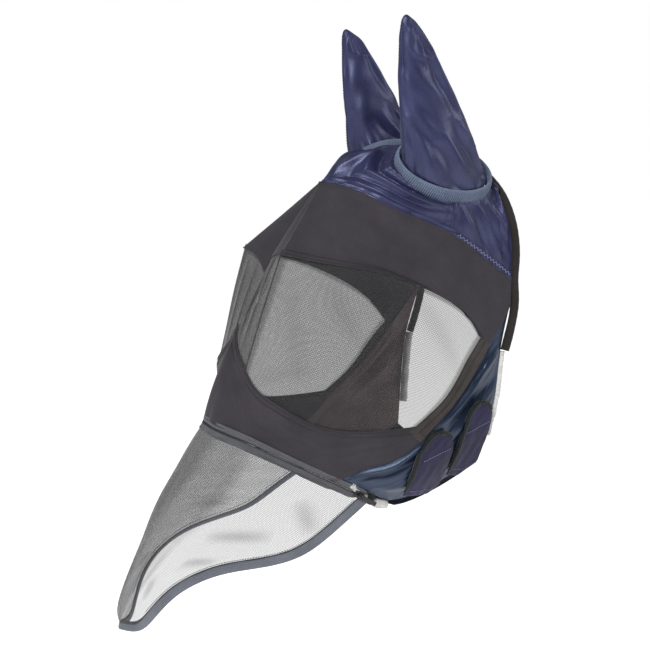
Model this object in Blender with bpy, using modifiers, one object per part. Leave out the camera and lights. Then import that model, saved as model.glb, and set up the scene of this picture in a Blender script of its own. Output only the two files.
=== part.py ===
# Horse fly mask with ears and a zip-on nose cover, in the shape it takes when worn.
# The nose points along -Y, the horse's left is +X and up is +Z. The origin is the poll,
# under the crown between the ears. Lengths are in metres.
import bpy
import math
import numpy as np
from mathutils import Matrix

for thing in list(bpy.data.objects):
    bpy.data.objects.remove(thing, do_unlink=True)
parts = bpy.data.collections.new("fly_mask")
bpy.context.scene.collection.children.link(parts)

# Driving dimensions
CLOTH = 0.0016            # wall of a cloth panel
SEAM_GAP = 0.0010         # a panel stops this far short of its seam line
PIPED_GAP = 0.0018        # and this far short of a piped one
TAPE_GAP = 0.0006         # a panel stops this far from a zip tape
TAPE = 0.0012             # wall of a tape, a patch or a tab
LAYER_STEP = 0.0017       # from one layer of the closure to the next
BINDING_RADIUS = 0.0042   # padded binding round the rear opening
BINDING_STEP = (0, 0.0054, 0.0005)   # from the crown's rear edge to the binding's middle
PIPING_RADIUS = 0.0007
FLEECE_RADIUS = 0.0035
COVER_BINDING = 0.009     # width of the binding on the nose cover's free edge
BAND_WIDTH = 0.012        # elastic band round an ear
BAND_WALL = 0.0020
EAR_OPENING = 1.075       # the crown's ear opening, as a share of the ear's base ring
EAR_ROOT = (0.90, 0.88)   # an ear cover's root inside the band, as shares of that ring
EAR_ROOT_LIFT = 0.0030    # from the base ring's plane up to the root
ZIP_COIL_RADIUS = 0.0009
ZIP_TAPE_START = 0.0024   # from the zip's centre line to the near edge of a tape
ZIP_TAPE_END = 0.0060     # and to its far edge
ZIP_COIL_PLACE = 0.0011   # from the zip's centre line to a coil's
SLIDER = (0.0100, 0.0076, 0.0016)   # along, across and out of the zip
SLIDER_REST = 0.0100      # from the zip's end to the parked slider
SLIDER_LIFT = 0.0030      # from the zip's surface to the slider plate's middle
BRIDGE = (0.0060, 0.0016, 0.0034)   # the slider's arch, which the pull's top bar runs through
BRIDGE_WALL = 0.0010
BRIDGE_LAP = 0.0005       # of the arch into the slider's plate
FINE_EDGE = 0.0003        # rounding on the slider's arch and the pull
HOLE_EDGE = 0.0001
PULL = (0.0210, 0.0050, 0.0012)
PULL_HOLE = (0.0038, 0.0026)
PULL_BAR = 0.0012         # the pull's top bar, which turns in the slider's arch
PULL_LIFT = 0.0020        # from the slider plate's middle to the pull's hinge
END_STOP = (0.0070, 0.0110, 0.0030)
END_STOP_PLACE = 0.0053   # from the zip's end to an end stop's middle
TAPE_STOP = 0.0030        # the tapes stop this far short of the zip's end
BINDING_WALL = 0.0022
APEX_INSET = 0.006        # the forehead panel's point stops this far below its apex
COVER_TIP_INSET = 0.006   # and the nose cover this far above its tip
FLEECE_DEPTH = 0.0048     # from a jaw panel's surface to its fleece rim's middle
PATCH = 0.0009            # wall of a hook or loop patch
TIP_GOAL = 22             # of 30 points down the midline: the binding's tip leans towards this one
TIP_INWARD = (0, 0.25, 0.97)   # and its last rib lies this way
RIGHT_DROP = 0.012        # the right cheek sits this much lower on the head

# Corners that several panels share, on the midline or on the left side
APEX = (0, -0.115, -0.026)
KITE_CORNER = (0.046, -0.182, -0.092)
KITE_TIP = (0, -0.178, -0.123)
PEAK = (0, -0.213, -0.174)
CREASE_FOOT = (0.036, -0.219, -0.211)
ZIP_FRONT = (0, -0.246, -0.271)
ZIP_END = (0.066, -0.096, -0.354)
JAW_FRONT = (0.0585, -0.132, -0.333)
JAW_START = (0.063, -0.125, -0.329)
JAW_TOE = (0.0688, -0.0925, -0.3478)
STRIP_TOP = (0.095, 0.027, -0.188)
STRIP_FOOT = (0.099, -0.059, -0.276)
CHEEK_TOP = (0.096, 0.036, -0.196)
CHEEK_FOOT = (0.101, -0.049, -0.286)
HEM_REAR = (0.088, 0.070, -0.128)
BROW_REAR = (0.091, 0.067, -0.157)
HEM_SIDE = (0.081, -0.004, -0.078)
POLL_REAR = (0, 0.053, -0.001)
POLL_TOP = (0, 0.006, 0.006)
COVER_TIP = (0, -0.346, -0.468)
JAW_CORNER = (0.084, 0.038, -0.323)

# Seam lines on the left side, front to rear or top to bottom
KITE_EDGE = [APEX, (0.022, -0.146, -0.058), KITE_CORNER]
KITE_FOOT = [KITE_TIP, (0.010, -0.179, -0.105), (0.026, -0.181, -0.096), KITE_CORNER]
HEM_FRONT = [APEX, (0.022, -0.099, -0.029), (0.042, -0.081, -0.038), (0.060, -0.056, -0.053),
             HEM_SIDE]
HEM_BACK = [HEM_SIDE, (0.086, 0.028, -0.099), HEM_REAR]
BROW_EDGE = [KITE_CORNER, (0.066, -0.140, -0.102), (0.084, -0.093, -0.112),
             (0.095, -0.028, -0.139), (0.097, 0.007, -0.162), STRIP_TOP]
CREASE = [KITE_CORNER, (0.043, -0.197, -0.137), (0.039, -0.208, -0.174), CREASE_FOOT]
PEAK_EDGE = [PEAK, (0.009, -0.217, -0.190), (0.024, -0.219, -0.202), CREASE_FOOT]
NOSE_TOP = [CREASE_FOOT, (0.050, -0.212, -0.229), (0.066, -0.193, -0.246),
            (0.080, -0.161, -0.265), (0.092, -0.117, -0.274), STRIP_FOOT]
ZIP_FACE = [ZIP_FRONT, (0.018, -0.244, -0.272), (0.034, -0.228, -0.279),
            (0.044, -0.207, -0.290), JAW_FRONT]
ZIP_JAW = [JAW_FRONT, ZIP_END]
STRIP_FRONT = [STRIP_TOP, (0.099, 0.006, -0.212), (0.101, -0.019, -0.245), STRIP_FOOT]
STRIP_REAR = [CHEEK_TOP, (0.099, 0.015, -0.224), (0.101, -0.010, -0.252), CHEEK_FOOT]
JAW_SEAM = [JAW_START, (0.076, -0.104, -0.316), (0.089, -0.080, -0.308), CHEEK_FOOT]
BROW_BACK = [CHEEK_TOP, (0.095, 0.052, -0.176), BROW_REAR]
JAW_BOTTOM = [JAW_TOE, (0.0675, -0.074, -0.3595), (0.070, -0.053, -0.3615),
              (0.076, -0.009, -0.348), JAW_CORNER]
JAW_REAR = [BROW_REAR, (0.094, 0.054, -0.205), (0.094, 0.048, -0.258), JAW_CORNER]
CROWN_REAR = [HEM_REAR, (0.086, 0.072, -0.098), (0.078, 0.069, -0.060), (0.062, 0.0660, -0.036),
              (0.036, 0.0615, -0.016), POLL_REAR]
BINDING_FOOT = [(0.094, 0.0600, -0.205), (0.0915, 0.0730, -0.157)]
FLEECE_FRONT = [(0.0590, -0.112, -0.3375), (0.0595, -0.098, -0.3520), (0.0610, -0.083, -0.3630),
                (0.0625, -0.070, -0.3665)]
MIDLINE_BROW = [APEX, (0, -0.146, -0.070), KITE_TIP]
MIDLINE_FACE = [KITE_TIP, (0, -0.196, -0.148), PEAK]
MIDLINE_NOSE = [PEAK, (0, -0.232, -0.222), ZIP_FRONT]
MIDLINE_COVER = [ZIP_FRONT, (0, -0.279, -0.317), (0, -0.308, -0.366), (0, -0.328, -0.409),
                 (0, -0.347, -0.448), COVER_TIP]
COVER_EDGE = [ZIP_END, (0.070, -0.138, -0.378), (0.070, -0.171, -0.395), (0.068, -0.203, -0.401),
              (0.061, -0.236, -0.403), (0.052, -0.267, -0.408), (0.040, -0.300, -0.425),
              (0.026, -0.320, -0.451), (0.012, -0.332, -0.468), COVER_TIP]
MIDLINE_CROWN = [POLL_TOP, (0, -0.045, 0.006), (0, -0.079, 0.003), (0, -0.102, -0.012), APEX]
MIDLINE_POLL = [POLL_REAR, (0, 0.031, 0.004), POLL_TOP]

# Left ear: the base ring, and level sections above it as (centre, half length, half width)
RING_CENTRE = np.array((0.052, 0.004, -0.0145))
RING_BACK = np.array((0.004, 0.0545, -0.005))
RING_OUT = np.array((0.028, -0.002, -0.027))
EAR_SECTIONS = [((0.0570, -0.005, 0.012), 0.0455, 0.0228),
                ((0.0565, -0.0132, 0.037), 0.0395, 0.0195),
                ((0.0572, -0.0235, 0.067), 0.032, 0.017), ((0.0584, -0.0321, 0.092), 0.025, 0.013),
                ((0.0598, -0.0438, 0.124), 0.013, 0.008), ((0.0616, -0.0507, 0.137), 0.004, 0.0035)]

FLAP_SAG = 0.010          # of the closing flap, half way across under the jaw
FLAP_DROP = 0.0062        # the flap passes this far below the left jaw panel's edge

# The two closing tabs: root and tip on the left jaw panel, as (y, z), and the width
TABS = {"lower": ((-0.038, -0.353), (-0.028, -0.281), 0.042),
        "upper": ((0.010, -0.339), (0.029, -0.257), 0.037)}

COLOURS = {
    "navy": ((0.062, 0.064, 0.160), 0.35), "black_cloth": ((0.042, 0.037, 0.043), 0.75),
    "mesh": ((0.10, 0.10, 0.105), 0.70), "jaw_satin": ((0.070, 0.105, 0.190), 0.35),
    "strip": ((0.062, 0.056, 0.058), 0.85), "binding": ((0.013, 0.011, 0.009), 0.80),
    "band": ((0.092, 0.118, 0.150), 0.90), "cover_binding": ((0.170, 0.178, 0.210), 0.80),
    "fleece": ((0.58, 0.58, 0.57), 0.95), "tab": ((0.036, 0.030, 0.100), 0.60),
    "hook": ((0.020, 0.020, 0.024), 0.90), "loop": ((0.020, 0.026, 0.030), 0.95),
    "zip_tape": ((0.100, 0.100, 0.108), 0.80), "coil": ((0.030, 0.030, 0.033), 0.50),
    "slider": ((0.060, 0.060, 0.066), 0.40), "piping": ((0.160, 0.155, 0.150), 0.70),
}


# Geometry helpers: arrays of points in, arrays of points out

def smooth_line(points, count=61):
    """Natural cubic spline through the points, read at even steps of arc length."""
    p = np.array(points, float)
    span = np.sqrt(np.linalg.norm(np.diff(p, axis=0), axis=1))
    knot = np.concatenate(([0], np.cumsum(span)))
    last = len(p) - 1
    system, right = np.eye(last + 1), np.zeros((last + 1, 3))
    for i in range(1, last):
        system[i, i - 1:i + 2] = span[i - 1], 2 * (span[i - 1] + span[i]), span[i]
        right[i] = 6 * ((p[i + 1] - p[i]) / span[i] - (p[i] - p[i - 1]) / span[i - 1])
    bend = np.linalg.solve(system, right)
    t = np.linspace(0, knot[-1], 40 * last + 1)
    k = np.clip(np.searchsorted(knot, t, side="right") - 1, 0, last - 1)
    h, a, b = span[k][:, None], (knot[k + 1] - t)[:, None], (t - knot[k])[:, None]
    fine = ((bend[k] * a ** 3 + bend[k + 1] * b ** 3) / (6 * h)
            + (p[k] / h - bend[k] * h / 6) * a + (p[k + 1] / h - bend[k + 1] * h / 6) * b)
    return evenly(fine, count)


def evenly(line, count):
    """The same line read at even steps of its length."""
    reach = np.concatenate(([0], np.cumsum(np.linalg.norm(np.diff(line, axis=0), axis=1))))
    at = np.linspace(0, reach[-1], count)
    return np.stack([np.interp(at, reach, line[:, i]) for i in range(3)], -1)


def joined(*lines):
    """Lines laid end to end, with a corner kept where two meet."""
    parts = [smooth_line(line) for line in lines]
    return evenly(np.concatenate([parts[0]] + [p[1:] for p in parts[1:]]), 121)


def read(line, share):
    """Points at a share of the way along a line."""
    at = np.clip(share, 0, 1) * (len(line) - 1)
    return np.stack([np.interp(at, np.arange(len(line)), line[:, i]) for i in range(3)], -1)


class Panel:
    """A cloth surface stretched between four edges that meet at their ends.
    u runs from the front edge to the rear edge and v from the top edge to the bottom edge."""

    def __init__(self, top, bottom, front, rear, bulge=0.0):
        self.top, self.bottom, self.front, self.rear = top, bottom, front, rear
        self.bulge = bulge

    def flat(self, u, v):
        u3, v3 = u[..., None], v[..., None]
        corners = ((1 - u3) * (1 - v3) * self.top[0] + u3 * (1 - v3) * self.top[-1]
                   + (1 - u3) * v3 * self.bottom[0] + u3 * v3 * self.bottom[-1])
        return ((1 - v3) * read(self.top, u) + v3 * read(self.bottom, u)
                + (1 - u3) * read(self.front, v) + u3 * read(self.rear, v) - corners)

    def normal(self, u, v):
        """Unit normals, pointing away from the head."""
        h = 0.01
        across = self.flat(np.minimum(u + h, 1), v) - self.flat(np.maximum(u - h, 0), v)
        down = self.flat(u, np.minimum(v + h, 1)) - self.flat(u, np.maximum(v - h, 0))
        n = np.cross(down, across)
        n = n / np.maximum(np.linalg.norm(n, axis=-1, keepdims=True), 1e-12)
        inside = np.array((0, -0.02, -0.16))
        away = self.flat(u, v) - inside
        return n * np.where(np.sum(n * away) < 0, -1.0, 1.0)

    def at(self, u, v, lift=0.0):
        swell = self.bulge * 4 * np.sin(math.pi * u) * v * (1 - v) + lift
        return self.flat(u, v) + self.normal(u, v) * swell[..., None]

    def grid(self, columns, rows, inset=(SEAM_GAP,) * 4, band=None):
        """A grid of points, inset from the top, bottom, front and rear edges, or, with band,
        a strip between two distances from the top (positive) or the bottom (negative)."""
        top, bottom, front, rear = inset
        down, along = np.linspace(0, 1, rows)[:, None], np.linspace(0, 1, columns)
        first = front / square_reach(self.front, self.rear, down)
        last = 1 - rear / square_reach(self.rear, self.front, down)
        u = first + (last - first) * along
        if callable(bottom):
            bottom = bottom(u)
        below_top, above_bottom = (square_reach(self.top, self.bottom, u),
                                   square_reach(self.bottom, self.top, u))
        first, last = top / below_top, 1 - bottom / above_bottom
        if band and band[0] > 0:
            first, last = band[0] / below_top, band[1] / below_top
        elif band:
            first, last = 1 + band[0] / above_bottom, 1 + band[1] / above_bottom
        return self.at(u, first + (last - first) * down)


def square_reach(edge, other, share):
    """How far the other edge lies from this one, measured square to it."""
    step = 0.01
    tangent = read(edge, share + step) - read(edge, share - step)
    tangent = tangent / np.maximum(np.linalg.norm(tangent, axis=-1, keepdims=True), 1e-9)
    chord = read(other, share) - read(edge, share)
    chord = chord - tangent * np.sum(chord * tangent, axis=-1, keepdims=True)
    return np.maximum(np.linalg.norm(chord, axis=-1), 0.008)


class Cover(Panel):
    """The nose cover's surface: every cross-section is the zip's own curve, scaled to fit
    between the midline and the free edge."""

    def flat(self, u, v):
        u3 = u[..., None]
        start, end = read(self.front, v), read(self.rear, v)
        chord = self.top[-1] - self.top[0]
        curve = read(self.top, u) - self.top[0] - u3 * chord
        scale = np.linalg.norm(end - start, axis=-1, keepdims=True) / np.linalg.norm(chord)
        return start + (end - start) * u3 + curve * scale


def on_right(points):
    """The mirror image, with the right cheek a little lower, where the closing flap pulls it."""
    q = np.array(points, float) * (-1, 1, 1)
    share = (q[..., 0] / 0.095) ** 2 * np.exp(-((q[..., 2] + 0.17) / 0.09) ** 2 / 2)
    q[..., 2] -= RIGHT_DROP * share
    return q


def across_face(left_grid):
    """A whole panel from its left half, whose first column lies on the midline."""
    right = on_right(left_grid)[:, :0:-1]
    return np.concatenate((right, left_grid), axis=1)


# Objects

def material(slot):
    if slot in bpy.data.materials:
        return bpy.data.materials[slot]
    colour, roughness = COLOURS[slot]
    made = bpy.data.materials.new(slot)
    made.use_nodes = True
    shader = made.node_tree.nodes["Principled BSDF"]
    shader.inputs["Base Color"].default_value = (*colour, 1)
    shader.inputs["Roughness"].default_value = roughness
    shader.inputs["Metallic"].default_value = 0.8 if slot == "slider" else 0.0
    return made


def place(name, data, slot, parent=None):
    thing = bpy.data.objects.new(name, data)
    parts.objects.link(thing)
    thing.data.materials.append(material(slot))
    if parent:
        thing.parent = parent
        thing.matrix_parent_inverse = parent.matrix_world.inverted()
    return thing


def cloth(name, grid, slot, wall=CLOTH, parent=None, closed=False):
    """A grid of points as a sheet with a wall. closed joins the last column to the first."""
    rows, columns = grid.shape[:2]
    index = np.arange(rows * columns).reshape(rows, columns)
    if closed:
        index = np.concatenate((index, index[:, :1]), axis=1)
    corners = (index[:-1, :-1], index[1:, :-1], index[1:, 1:], index[:-1, 1:])
    faces = np.stack(corners, -1).reshape(-1, 4)
    mesh = bpy.data.meshes.new(name)
    mesh.from_pydata(grid.reshape(-1, 3).tolist(), [], faces.tolist())
    thing = place(name, mesh, slot, parent)
    shell = thing.modifiers.new("wall", "SOLIDIFY")
    shell.thickness = wall
    shell.offset = 0
    return thing


def roll(name, points, radius, slot, parent=None, count=31, cyclic=False):
    """A round binding, cord or rim that follows a line."""
    curve = bpy.data.curves.new(name, "CURVE")
    curve.dimensions = "3D"
    curve.bevel_depth = radius
    curve.bevel_resolution = 2
    curve.use_fill_caps = True
    spline = curve.splines.new("POLY")
    line = evenly(np.array(points, float), count)
    spline.points.add(len(line) - 1)
    for point, place_at in zip(spline.points, line):
        point.co = (*place_at, 1)
    spline.use_cyclic_u = cyclic
    return place(name, curve, slot, parent)


def axis_empty(name, at):
    empty = bpy.data.objects.new(name, None)
    parts.objects.link(empty)
    empty.location = at
    bpy.context.view_layer.update()
    return empty


# The panels' surfaces, on the left side

def point_line(at):
    """A side with no length, where two edges meet in a point."""
    return np.repeat(np.array([at], float), 2, axis=0)


BROW = Panel(smooth_line(HEM_FRONT + HEM_BACK[1:], 121), smooth_line(BROW_EDGE, 121),
             smooth_line(KITE_EDGE), joined([HEM_REAR, BROW_REAR], BROW_BACK[::-1],
                                            [CHEEK_TOP, STRIP_TOP]), 0.003)
KITE = Panel(point_line(APEX), smooth_line(KITE_FOOT), smooth_line(MIDLINE_BROW),
             smooth_line(KITE_EDGE))
FACE = Panel(smooth_line(KITE_FOOT), smooth_line(PEAK_EDGE), smooth_line(MIDLINE_FACE),
             smooth_line(CREASE))
EYE = Panel(smooth_line(BROW_EDGE, 121), smooth_line(NOSE_TOP, 121), smooth_line(CREASE),
            smooth_line(STRIP_FRONT), 0.007)
STRIP = Panel(smooth_line([STRIP_TOP, CHEEK_TOP]), smooth_line([STRIP_FOOT, CHEEK_FOOT]),
              smooth_line(STRIP_FRONT), smooth_line(STRIP_REAR))
NOSE = Panel(joined(PEAK_EDGE, NOSE_TOP), joined(ZIP_FACE, [JAW_FRONT] + JAW_SEAM),
             smooth_line(MIDLINE_NOSE), smooth_line([STRIP_FOOT, CHEEK_FOOT]))
JAW = Panel(joined(JAW_SEAM, STRIP_REAR[::-1], BROW_BACK), smooth_line(JAW_BOTTOM, 121),
            smooth_line([JAW_START, JAW_TOE]), smooth_line(JAW_REAR), 0.004)
ZIP_LINE = joined(ZIP_FACE, ZIP_JAW)
COVER = Cover(ZIP_LINE, point_line(COVER_TIP), smooth_line(MIDLINE_COVER, 121),
              smooth_line(COVER_EDGE, 121))
SIDES = {"left": lambda points: points, "right": on_right}


def nose_panel_edge(u):
    """The nose panel stops at the zip's tape, and beyond that at the jaw panel's seam."""
    zip_share = length(ZIP_FACE) / (length(ZIP_FACE) + length([JAW_FRONT] + JAW_SEAM))
    return np.interp(u, (zip_share, zip_share + 0.08), (ZIP_TAPE_END + TAPE_GAP, SEAM_GAP))


def length(points):
    return np.linalg.norm(np.diff(smooth_line(points), axis=0), axis=1).sum()


def face_panels():
    forehead = KITE.grid(8, 10, (APEX_INSET, SEAM_GAP, 0, PIPED_GAP))
    forehead[:, 0, 0] = 0
    cloth("forehead_panel", across_face(forehead), "black_cloth")
    face = FACE.grid(6, 9, (SEAM_GAP, SEAM_GAP, 0, SEAM_GAP))
    face[:, 0, 0] = 0
    cloth("face_mesh", across_face(face), "mesh")
    nose = NOSE.grid(19, 8, (SEAM_GAP, nose_panel_edge, 0, SEAM_GAP))
    nose[:, 0, 0] = 0
    cloth("nose_panel", across_face(nose), "black_cloth")
    for side, put in SIDES.items():
        cloth(f"brow_panel_{side}", put(BROW.grid(13, 8, (SEAM_GAP, SEAM_GAP, PIPED_GAP, SEAM_GAP))),
              "black_cloth")
        cloth(f"eye_mesh_{side}", put(EYE.grid(11, 10)), "mesh")
        cloth(f"cheek_strip_{side}", put(STRIP.grid(3, 11)), "strip", TAPE)
        cloth(f"jaw_panel_{side}", put(JAW.grid(16, 8)), "jaw_satin")
        roll(f"forehead_piping_{side}", put(smooth_line(KITE_EDGE)[5:58]), PIPING_RADIUS,
             "piping", count=12)
    closing_flap()


def closing_flap():
    """The flap runs from the right jaw panel's lower edge, under the jaw, to the tabs' roots
    just below the left jaw panel's lower edge."""
    left = read(smooth_line(JAW_BOTTOM), np.linspace(0.24, 0.98, 7))
    right = on_right(left) + (0.0020, 0, -0.0022)
    left = left + (-0.0010, 0, -FLAP_DROP)
    share = np.linspace(0, 1, 13)[:, None, None]
    sheet = right + (left - right) * share
    sheet[..., 2] -= FLAP_SAG * np.sin(math.pi * share[..., 0])
    cloth("closing_flap", sheet, "jaw_satin")


def crown_half(turn_from, turn_to, edge, columns):
    """A crown sheet from the ear opening's rim, between two turns of it, out to an edge."""
    turn = np.radians(np.linspace(turn_from, turn_to, columns))[:, None]
    rim = RING_CENTRE + EAR_OPENING * (np.cos(turn) * RING_BACK + np.sin(turn) * RING_OUT)
    share = np.linspace(0, 1, 6)[:, None, None]
    return rim + (edge - rim) * share


def crown():
    """Front and rear pieces, which meet under and between the ears. Turn 0 of the ear ring is
    its rear end, 90 its outer side, 180 its front end and 270 its inner side."""
    middle = 1.5
    front_edge = np.concatenate((smooth_line(MIDLINE_CROWN, 10), smooth_line(HEM_FRONT, 11)[1:]))
    rear_edge = np.concatenate((smooth_line(HEM_BACK, 6), smooth_line(CROWN_REAR, 10)[1:],
                                smooth_line(MIDLINE_POLL, 5)[1:]))
    front = crown_half(270 - middle, 90 + middle, front_edge, len(front_edge))
    rear = crown_half(90 - middle, -90 + middle, rear_edge, len(rear_edge))
    for name, half in (("crown_front", front), ("crown_rear", rear)):
        half = shrink(half, SEAM_GAP)
        for side, put in SIDES.items():
            cloth(f"{name}_{side}", put(half), "navy")


def shrink(grid, gap):
    """The grid with its outer ring of points pulled in by a gap."""
    g = grid.copy()
    for edge, inner in ((0, 1), (-1, -2)):
        for a, b in ((g[edge], g[inner]), (g[:, edge], g[:, inner])):
            away = b - a
            length = np.maximum(np.linalg.norm(away, axis=-1, keepdims=True), 1e-9)
            a += away / length * np.minimum(gap, length * 0.4)
    return g


def ear_rings():
    """Sections of the left ear cover, from inside the band to the tip."""
    lift = np.cross(RING_BACK, RING_OUT)
    lift = lift / np.linalg.norm(lift) * -EAR_ROOT_LIFT
    sections = [(RING_CENTRE + lift, RING_BACK * EAR_ROOT[0], RING_OUT * EAR_ROOT[1])]
    for centre, length, width in EAR_SECTIONS:
        tilt = max(0, 0.037 - centre[2]) * 0.4
        sections.append((np.array(centre), np.array((0, length, -tilt * 0.3)),
                         np.array((width, 0, -tilt - width * 0.15))))
    return sections


def ear_half(turn_from, turn_to, columns=13, rows=13):
    sections = ear_rings()
    turn = np.radians(np.linspace(turn_from, turn_to, columns))[:, None]
    rings = np.array([c + np.cos(turn) * a + np.sin(turn) * b for c, a, b in sections])
    return np.stack([smooth_line(rings[:, i], rows) for i in range(columns)], axis=1)


def ear_band():
    """The band stands on the base ring and leans in with the ear cover."""
    turn = np.radians(np.arange(0, 360, 12))
    normal = np.cross(RING_BACK, RING_OUT)
    normal = -normal / np.linalg.norm(normal)
    rows = []
    for share in (-0.5, 0, 0.5):
        rim = np.cos(turn)[:, None] * RING_BACK + np.sin(turn)[:, None] * RING_OUT
        rows.append(RING_CENTRE + rim * (1.00 - 0.05 * share) + normal * BAND_WIDTH * share * 0.8)
    return np.array(rows)


def ears():
    apart = np.array((SEAM_GAP / 2, 0, 0))
    for side, put in SIDES.items():
        pivot = axis_empty(f"ear_{side}_axis", put(RING_CENTRE))
        cloth(f"ear_outer_{side}", put(ear_half(0, 180) + apart), "navy", parent=pivot)
        cloth(f"ear_inner_{side}", put(ear_half(180, 360) - apart), "navy", parent=pivot)
        cloth(f"ear_band_{side}", put(ear_band()), "band", BAND_WALL, closed=True)


def jaw_place(y, z):
    """Where on the left jaw panel a point at that y and z lies, as u and v."""
    goal = np.stack((y, z), -1)
    u, v = np.full(y.shape, 0.5), np.full(y.shape, 0.5)
    h = 0.002
    for _ in range(12):
        here = JAW.at(u, v)[..., 1:]
        du, dv = (JAW.at(u + h, v)[..., 1:] - here) / h, (JAW.at(u, v + h)[..., 1:] - here) / h
        miss = goal - here
        det = du[..., 0] * dv[..., 1] - du[..., 1] * dv[..., 0]
        u = np.clip(u + (miss[..., 0] * dv[..., 1] - miss[..., 1] * dv[..., 0]) / det, 0, 0.99)
        v = np.clip(v + (du[..., 0] * miss[..., 1] - du[..., 1] * miss[..., 0]) / det, 0, 0.99)
    return u, v


def tab_grid(root, tip, width, margin, layer, start=0.0):
    """A tab's outline on the jaw panel, lifted to a layer of the closure: straight sides and a
    rounded free end. margin widens it, and start leaves out that share at the root."""
    root, tip = np.array(root), np.array(tip)
    along = tip - root
    length = np.linalg.norm(along)
    along = along / length
    aside = np.array((along[1], -along[0]))
    run = np.linspace(start, 1, 12)
    straight = 0.62
    half = np.where(run < straight, 1.0, np.sqrt(np.maximum(
        1 - (np.maximum(run - straight, 0) / (1 - straight)) ** 2 * 0.86, 0)))
    half = half * (width / 2 + margin)
    reach = (length + margin) * run
    side = np.linspace(-1, 1, 7)
    at = root + reach[:, None, None] * along + (half[:, None] * side)[..., None] * aside
    u, v = jaw_place(at[..., 0], at[..., 1])
    return JAW.at(u, v, np.full(u.shape, layer * LAYER_STEP))


def closure():
    """Loop patches on the left jaw panel, and the tabs with their hook pads, which close on
    them. A tab peels away about its root."""
    for name, tab in TABS.items():
        cloth(f"loop_patch_{name}", tab_grid(*tab, 0.001, 1, 0.12), "loop", PATCH)
        outer = tab_grid(*tab, 0, 3)
        pivot = axis_empty(f"tab_{name}_axis", outer[0].mean(0))
        cloth(f"hook_pad_{name}", tab_grid(*tab, -0.003, 2, 0.25), "hook", PATCH, pivot)
        cloth(f"tab_{name}", outer, "tab", TAPE, pivot)


def ribbon(line, inward, near, far, rows=2):
    """A strip beside a line, between two distances from it along the inward directions."""
    reach = np.linspace(near, far, rows)[:, None, None]
    return line + inward * reach


def zip_surfaces():
    """The strips of cloth above and below the zip, which its tapes and coils lie in."""
    above = Panel(NOSE.top, ZIP_LINE, NOSE.front, smooth_line([STRIP_FOOT, ZIP_END]))
    return above, COVER


def zip_strip(surface, near, far):
    strip = surface.grid(25, 2, (0, 0, 0, TAPE_STOP), (near, far))
    strip[:, 0, 0] = 0
    return across_face(strip)


def unit(vector):
    return np.array(vector, float) / np.linalg.norm(vector)


def slider_frame(above, below):
    """Where the slider is parked on the zip's straight run: its place, and the directions
    along the zip, across it and out of it."""
    along = unit(np.array(ZIP_END) - ZIP_FACE[3])
    u = np.array([0.8])
    side = [unit(surface.at(u, np.array([v]))[0] - surface.at(u, np.array([edge]))[0])
            for surface, v, edge in ((below, 0.06, 0.0), (above, 0.94, 1.0))]
    out = unit(np.cross(side[0] - side[1], along))
    out = out if out[0] > 0 else -out
    return np.array(ZIP_END) - along * SLIDER_REST, along, unit(np.cross(out, along)), out


def turned(along, across, out):
    """A rotation whose local X, Y and Z lie along those directions."""
    return Matrix((along, across, out)).transposed().to_4x4()


def block(name, size, centre, turn, slot, parent=None, rounding=0.0006):
    """A box with rounded edges, turned to a frame."""
    bpy.ops.mesh.primitive_cube_add(size=1)
    thing = bpy.context.object
    thing.name = name
    thing.data.transform(Matrix.Diagonal((*size, 1)))
    for holder in list(thing.users_collection):
        holder.objects.unlink(thing)
    parts.objects.link(thing)
    thing.matrix_world = Matrix.Translation(centre) @ turn
    thing.data.materials.append(material(slot))
    edge = thing.modifiers.new("edge", "BEVEL")
    edge.width = rounding
    edge.segments = 2
    if parent:
        bpy.context.view_layer.update()
        thing.parent = parent
        thing.matrix_parent_inverse = parent.matrix_world.inverted()
    return thing


def combined(thing, other, operation):
    """Joins another object's shape to this one, or cuts it away, and removes the other."""
    change = thing.modifiers.new("change", "BOOLEAN")
    change.operation = operation
    change.object = other
    bpy.context.view_layer.update()
    graph = bpy.context.evaluated_depsgraph_get()
    mesh = bpy.data.meshes.new_from_object(thing.evaluated_get(graph))
    thing.modifiers.clear()
    thing.data = mesh
    bpy.data.objects.remove(other)


def zip_fastener():
    above, below = zip_surfaces()
    cover = axis_empty("nose_cover_axis", ZIP_FRONT)
    for name, surface, sign, parent in (("upper", above, -1, None), ("lower", below, 1, cover)):
        tape = zip_strip(surface, sign * ZIP_TAPE_START, sign * ZIP_TAPE_END)
        cloth(f"zip_tape_{name}", tape, "zip_tape", TAPE, parent)
        coil = zip_strip(surface, sign * ZIP_COIL_PLACE, sign * ZIP_TAPE_END)[0]
        roll(f"zip_coil_{name}", coil, ZIP_COIL_RADIUS, "coil", parent, 50)
    nose_cover(cover)

    centre, along, across, out = slider_frame(above, below)
    turn = turned(along, across, out)
    seat = centre + out * SLIDER_LIFT
    slider_axis = axis_empty("zip_slider_axis", seat)
    slider = block("zip_slider", SLIDER, seat, turn, "slider", slider_axis)
    bridge_centre = seat + out * ((SLIDER[2] + BRIDGE[2] - BRIDGE_LAP) / 2)
    bridge = block("bridge", (BRIDGE[0], BRIDGE[1], BRIDGE[2] + BRIDGE_LAP), bridge_centre,
                   turn, "slider", rounding=FINE_EDGE)
    opening = (BRIDGE[0] - 2 * BRIDGE_WALL, 2 * BRIDGE[1], BRIDGE[2] - BRIDGE_WALL)
    hole = block("hole", opening, seat + out * (SLIDER[2] + opening[2]) / 2, turn, "slider",
                 rounding=HOLE_EDGE)
    combined(bridge, hole, "DIFFERENCE")
    combined(slider, bridge, "UNION")
    zip_pull(seat + out * PULL_LIFT, across, slider_axis)
    for side, mirror, hand in (("left", (1, 1, 1), (1, 1, 1)), ("right", (-1, 1, 1), (1, -1, -1))):
        block(f"zip_end_stop_{side}", END_STOP,
              (np.array(ZIP_END) + along * END_STOP_PLACE) * mirror,
              turned(along * mirror, across * hand, out * mirror), "zip_tape")


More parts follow.
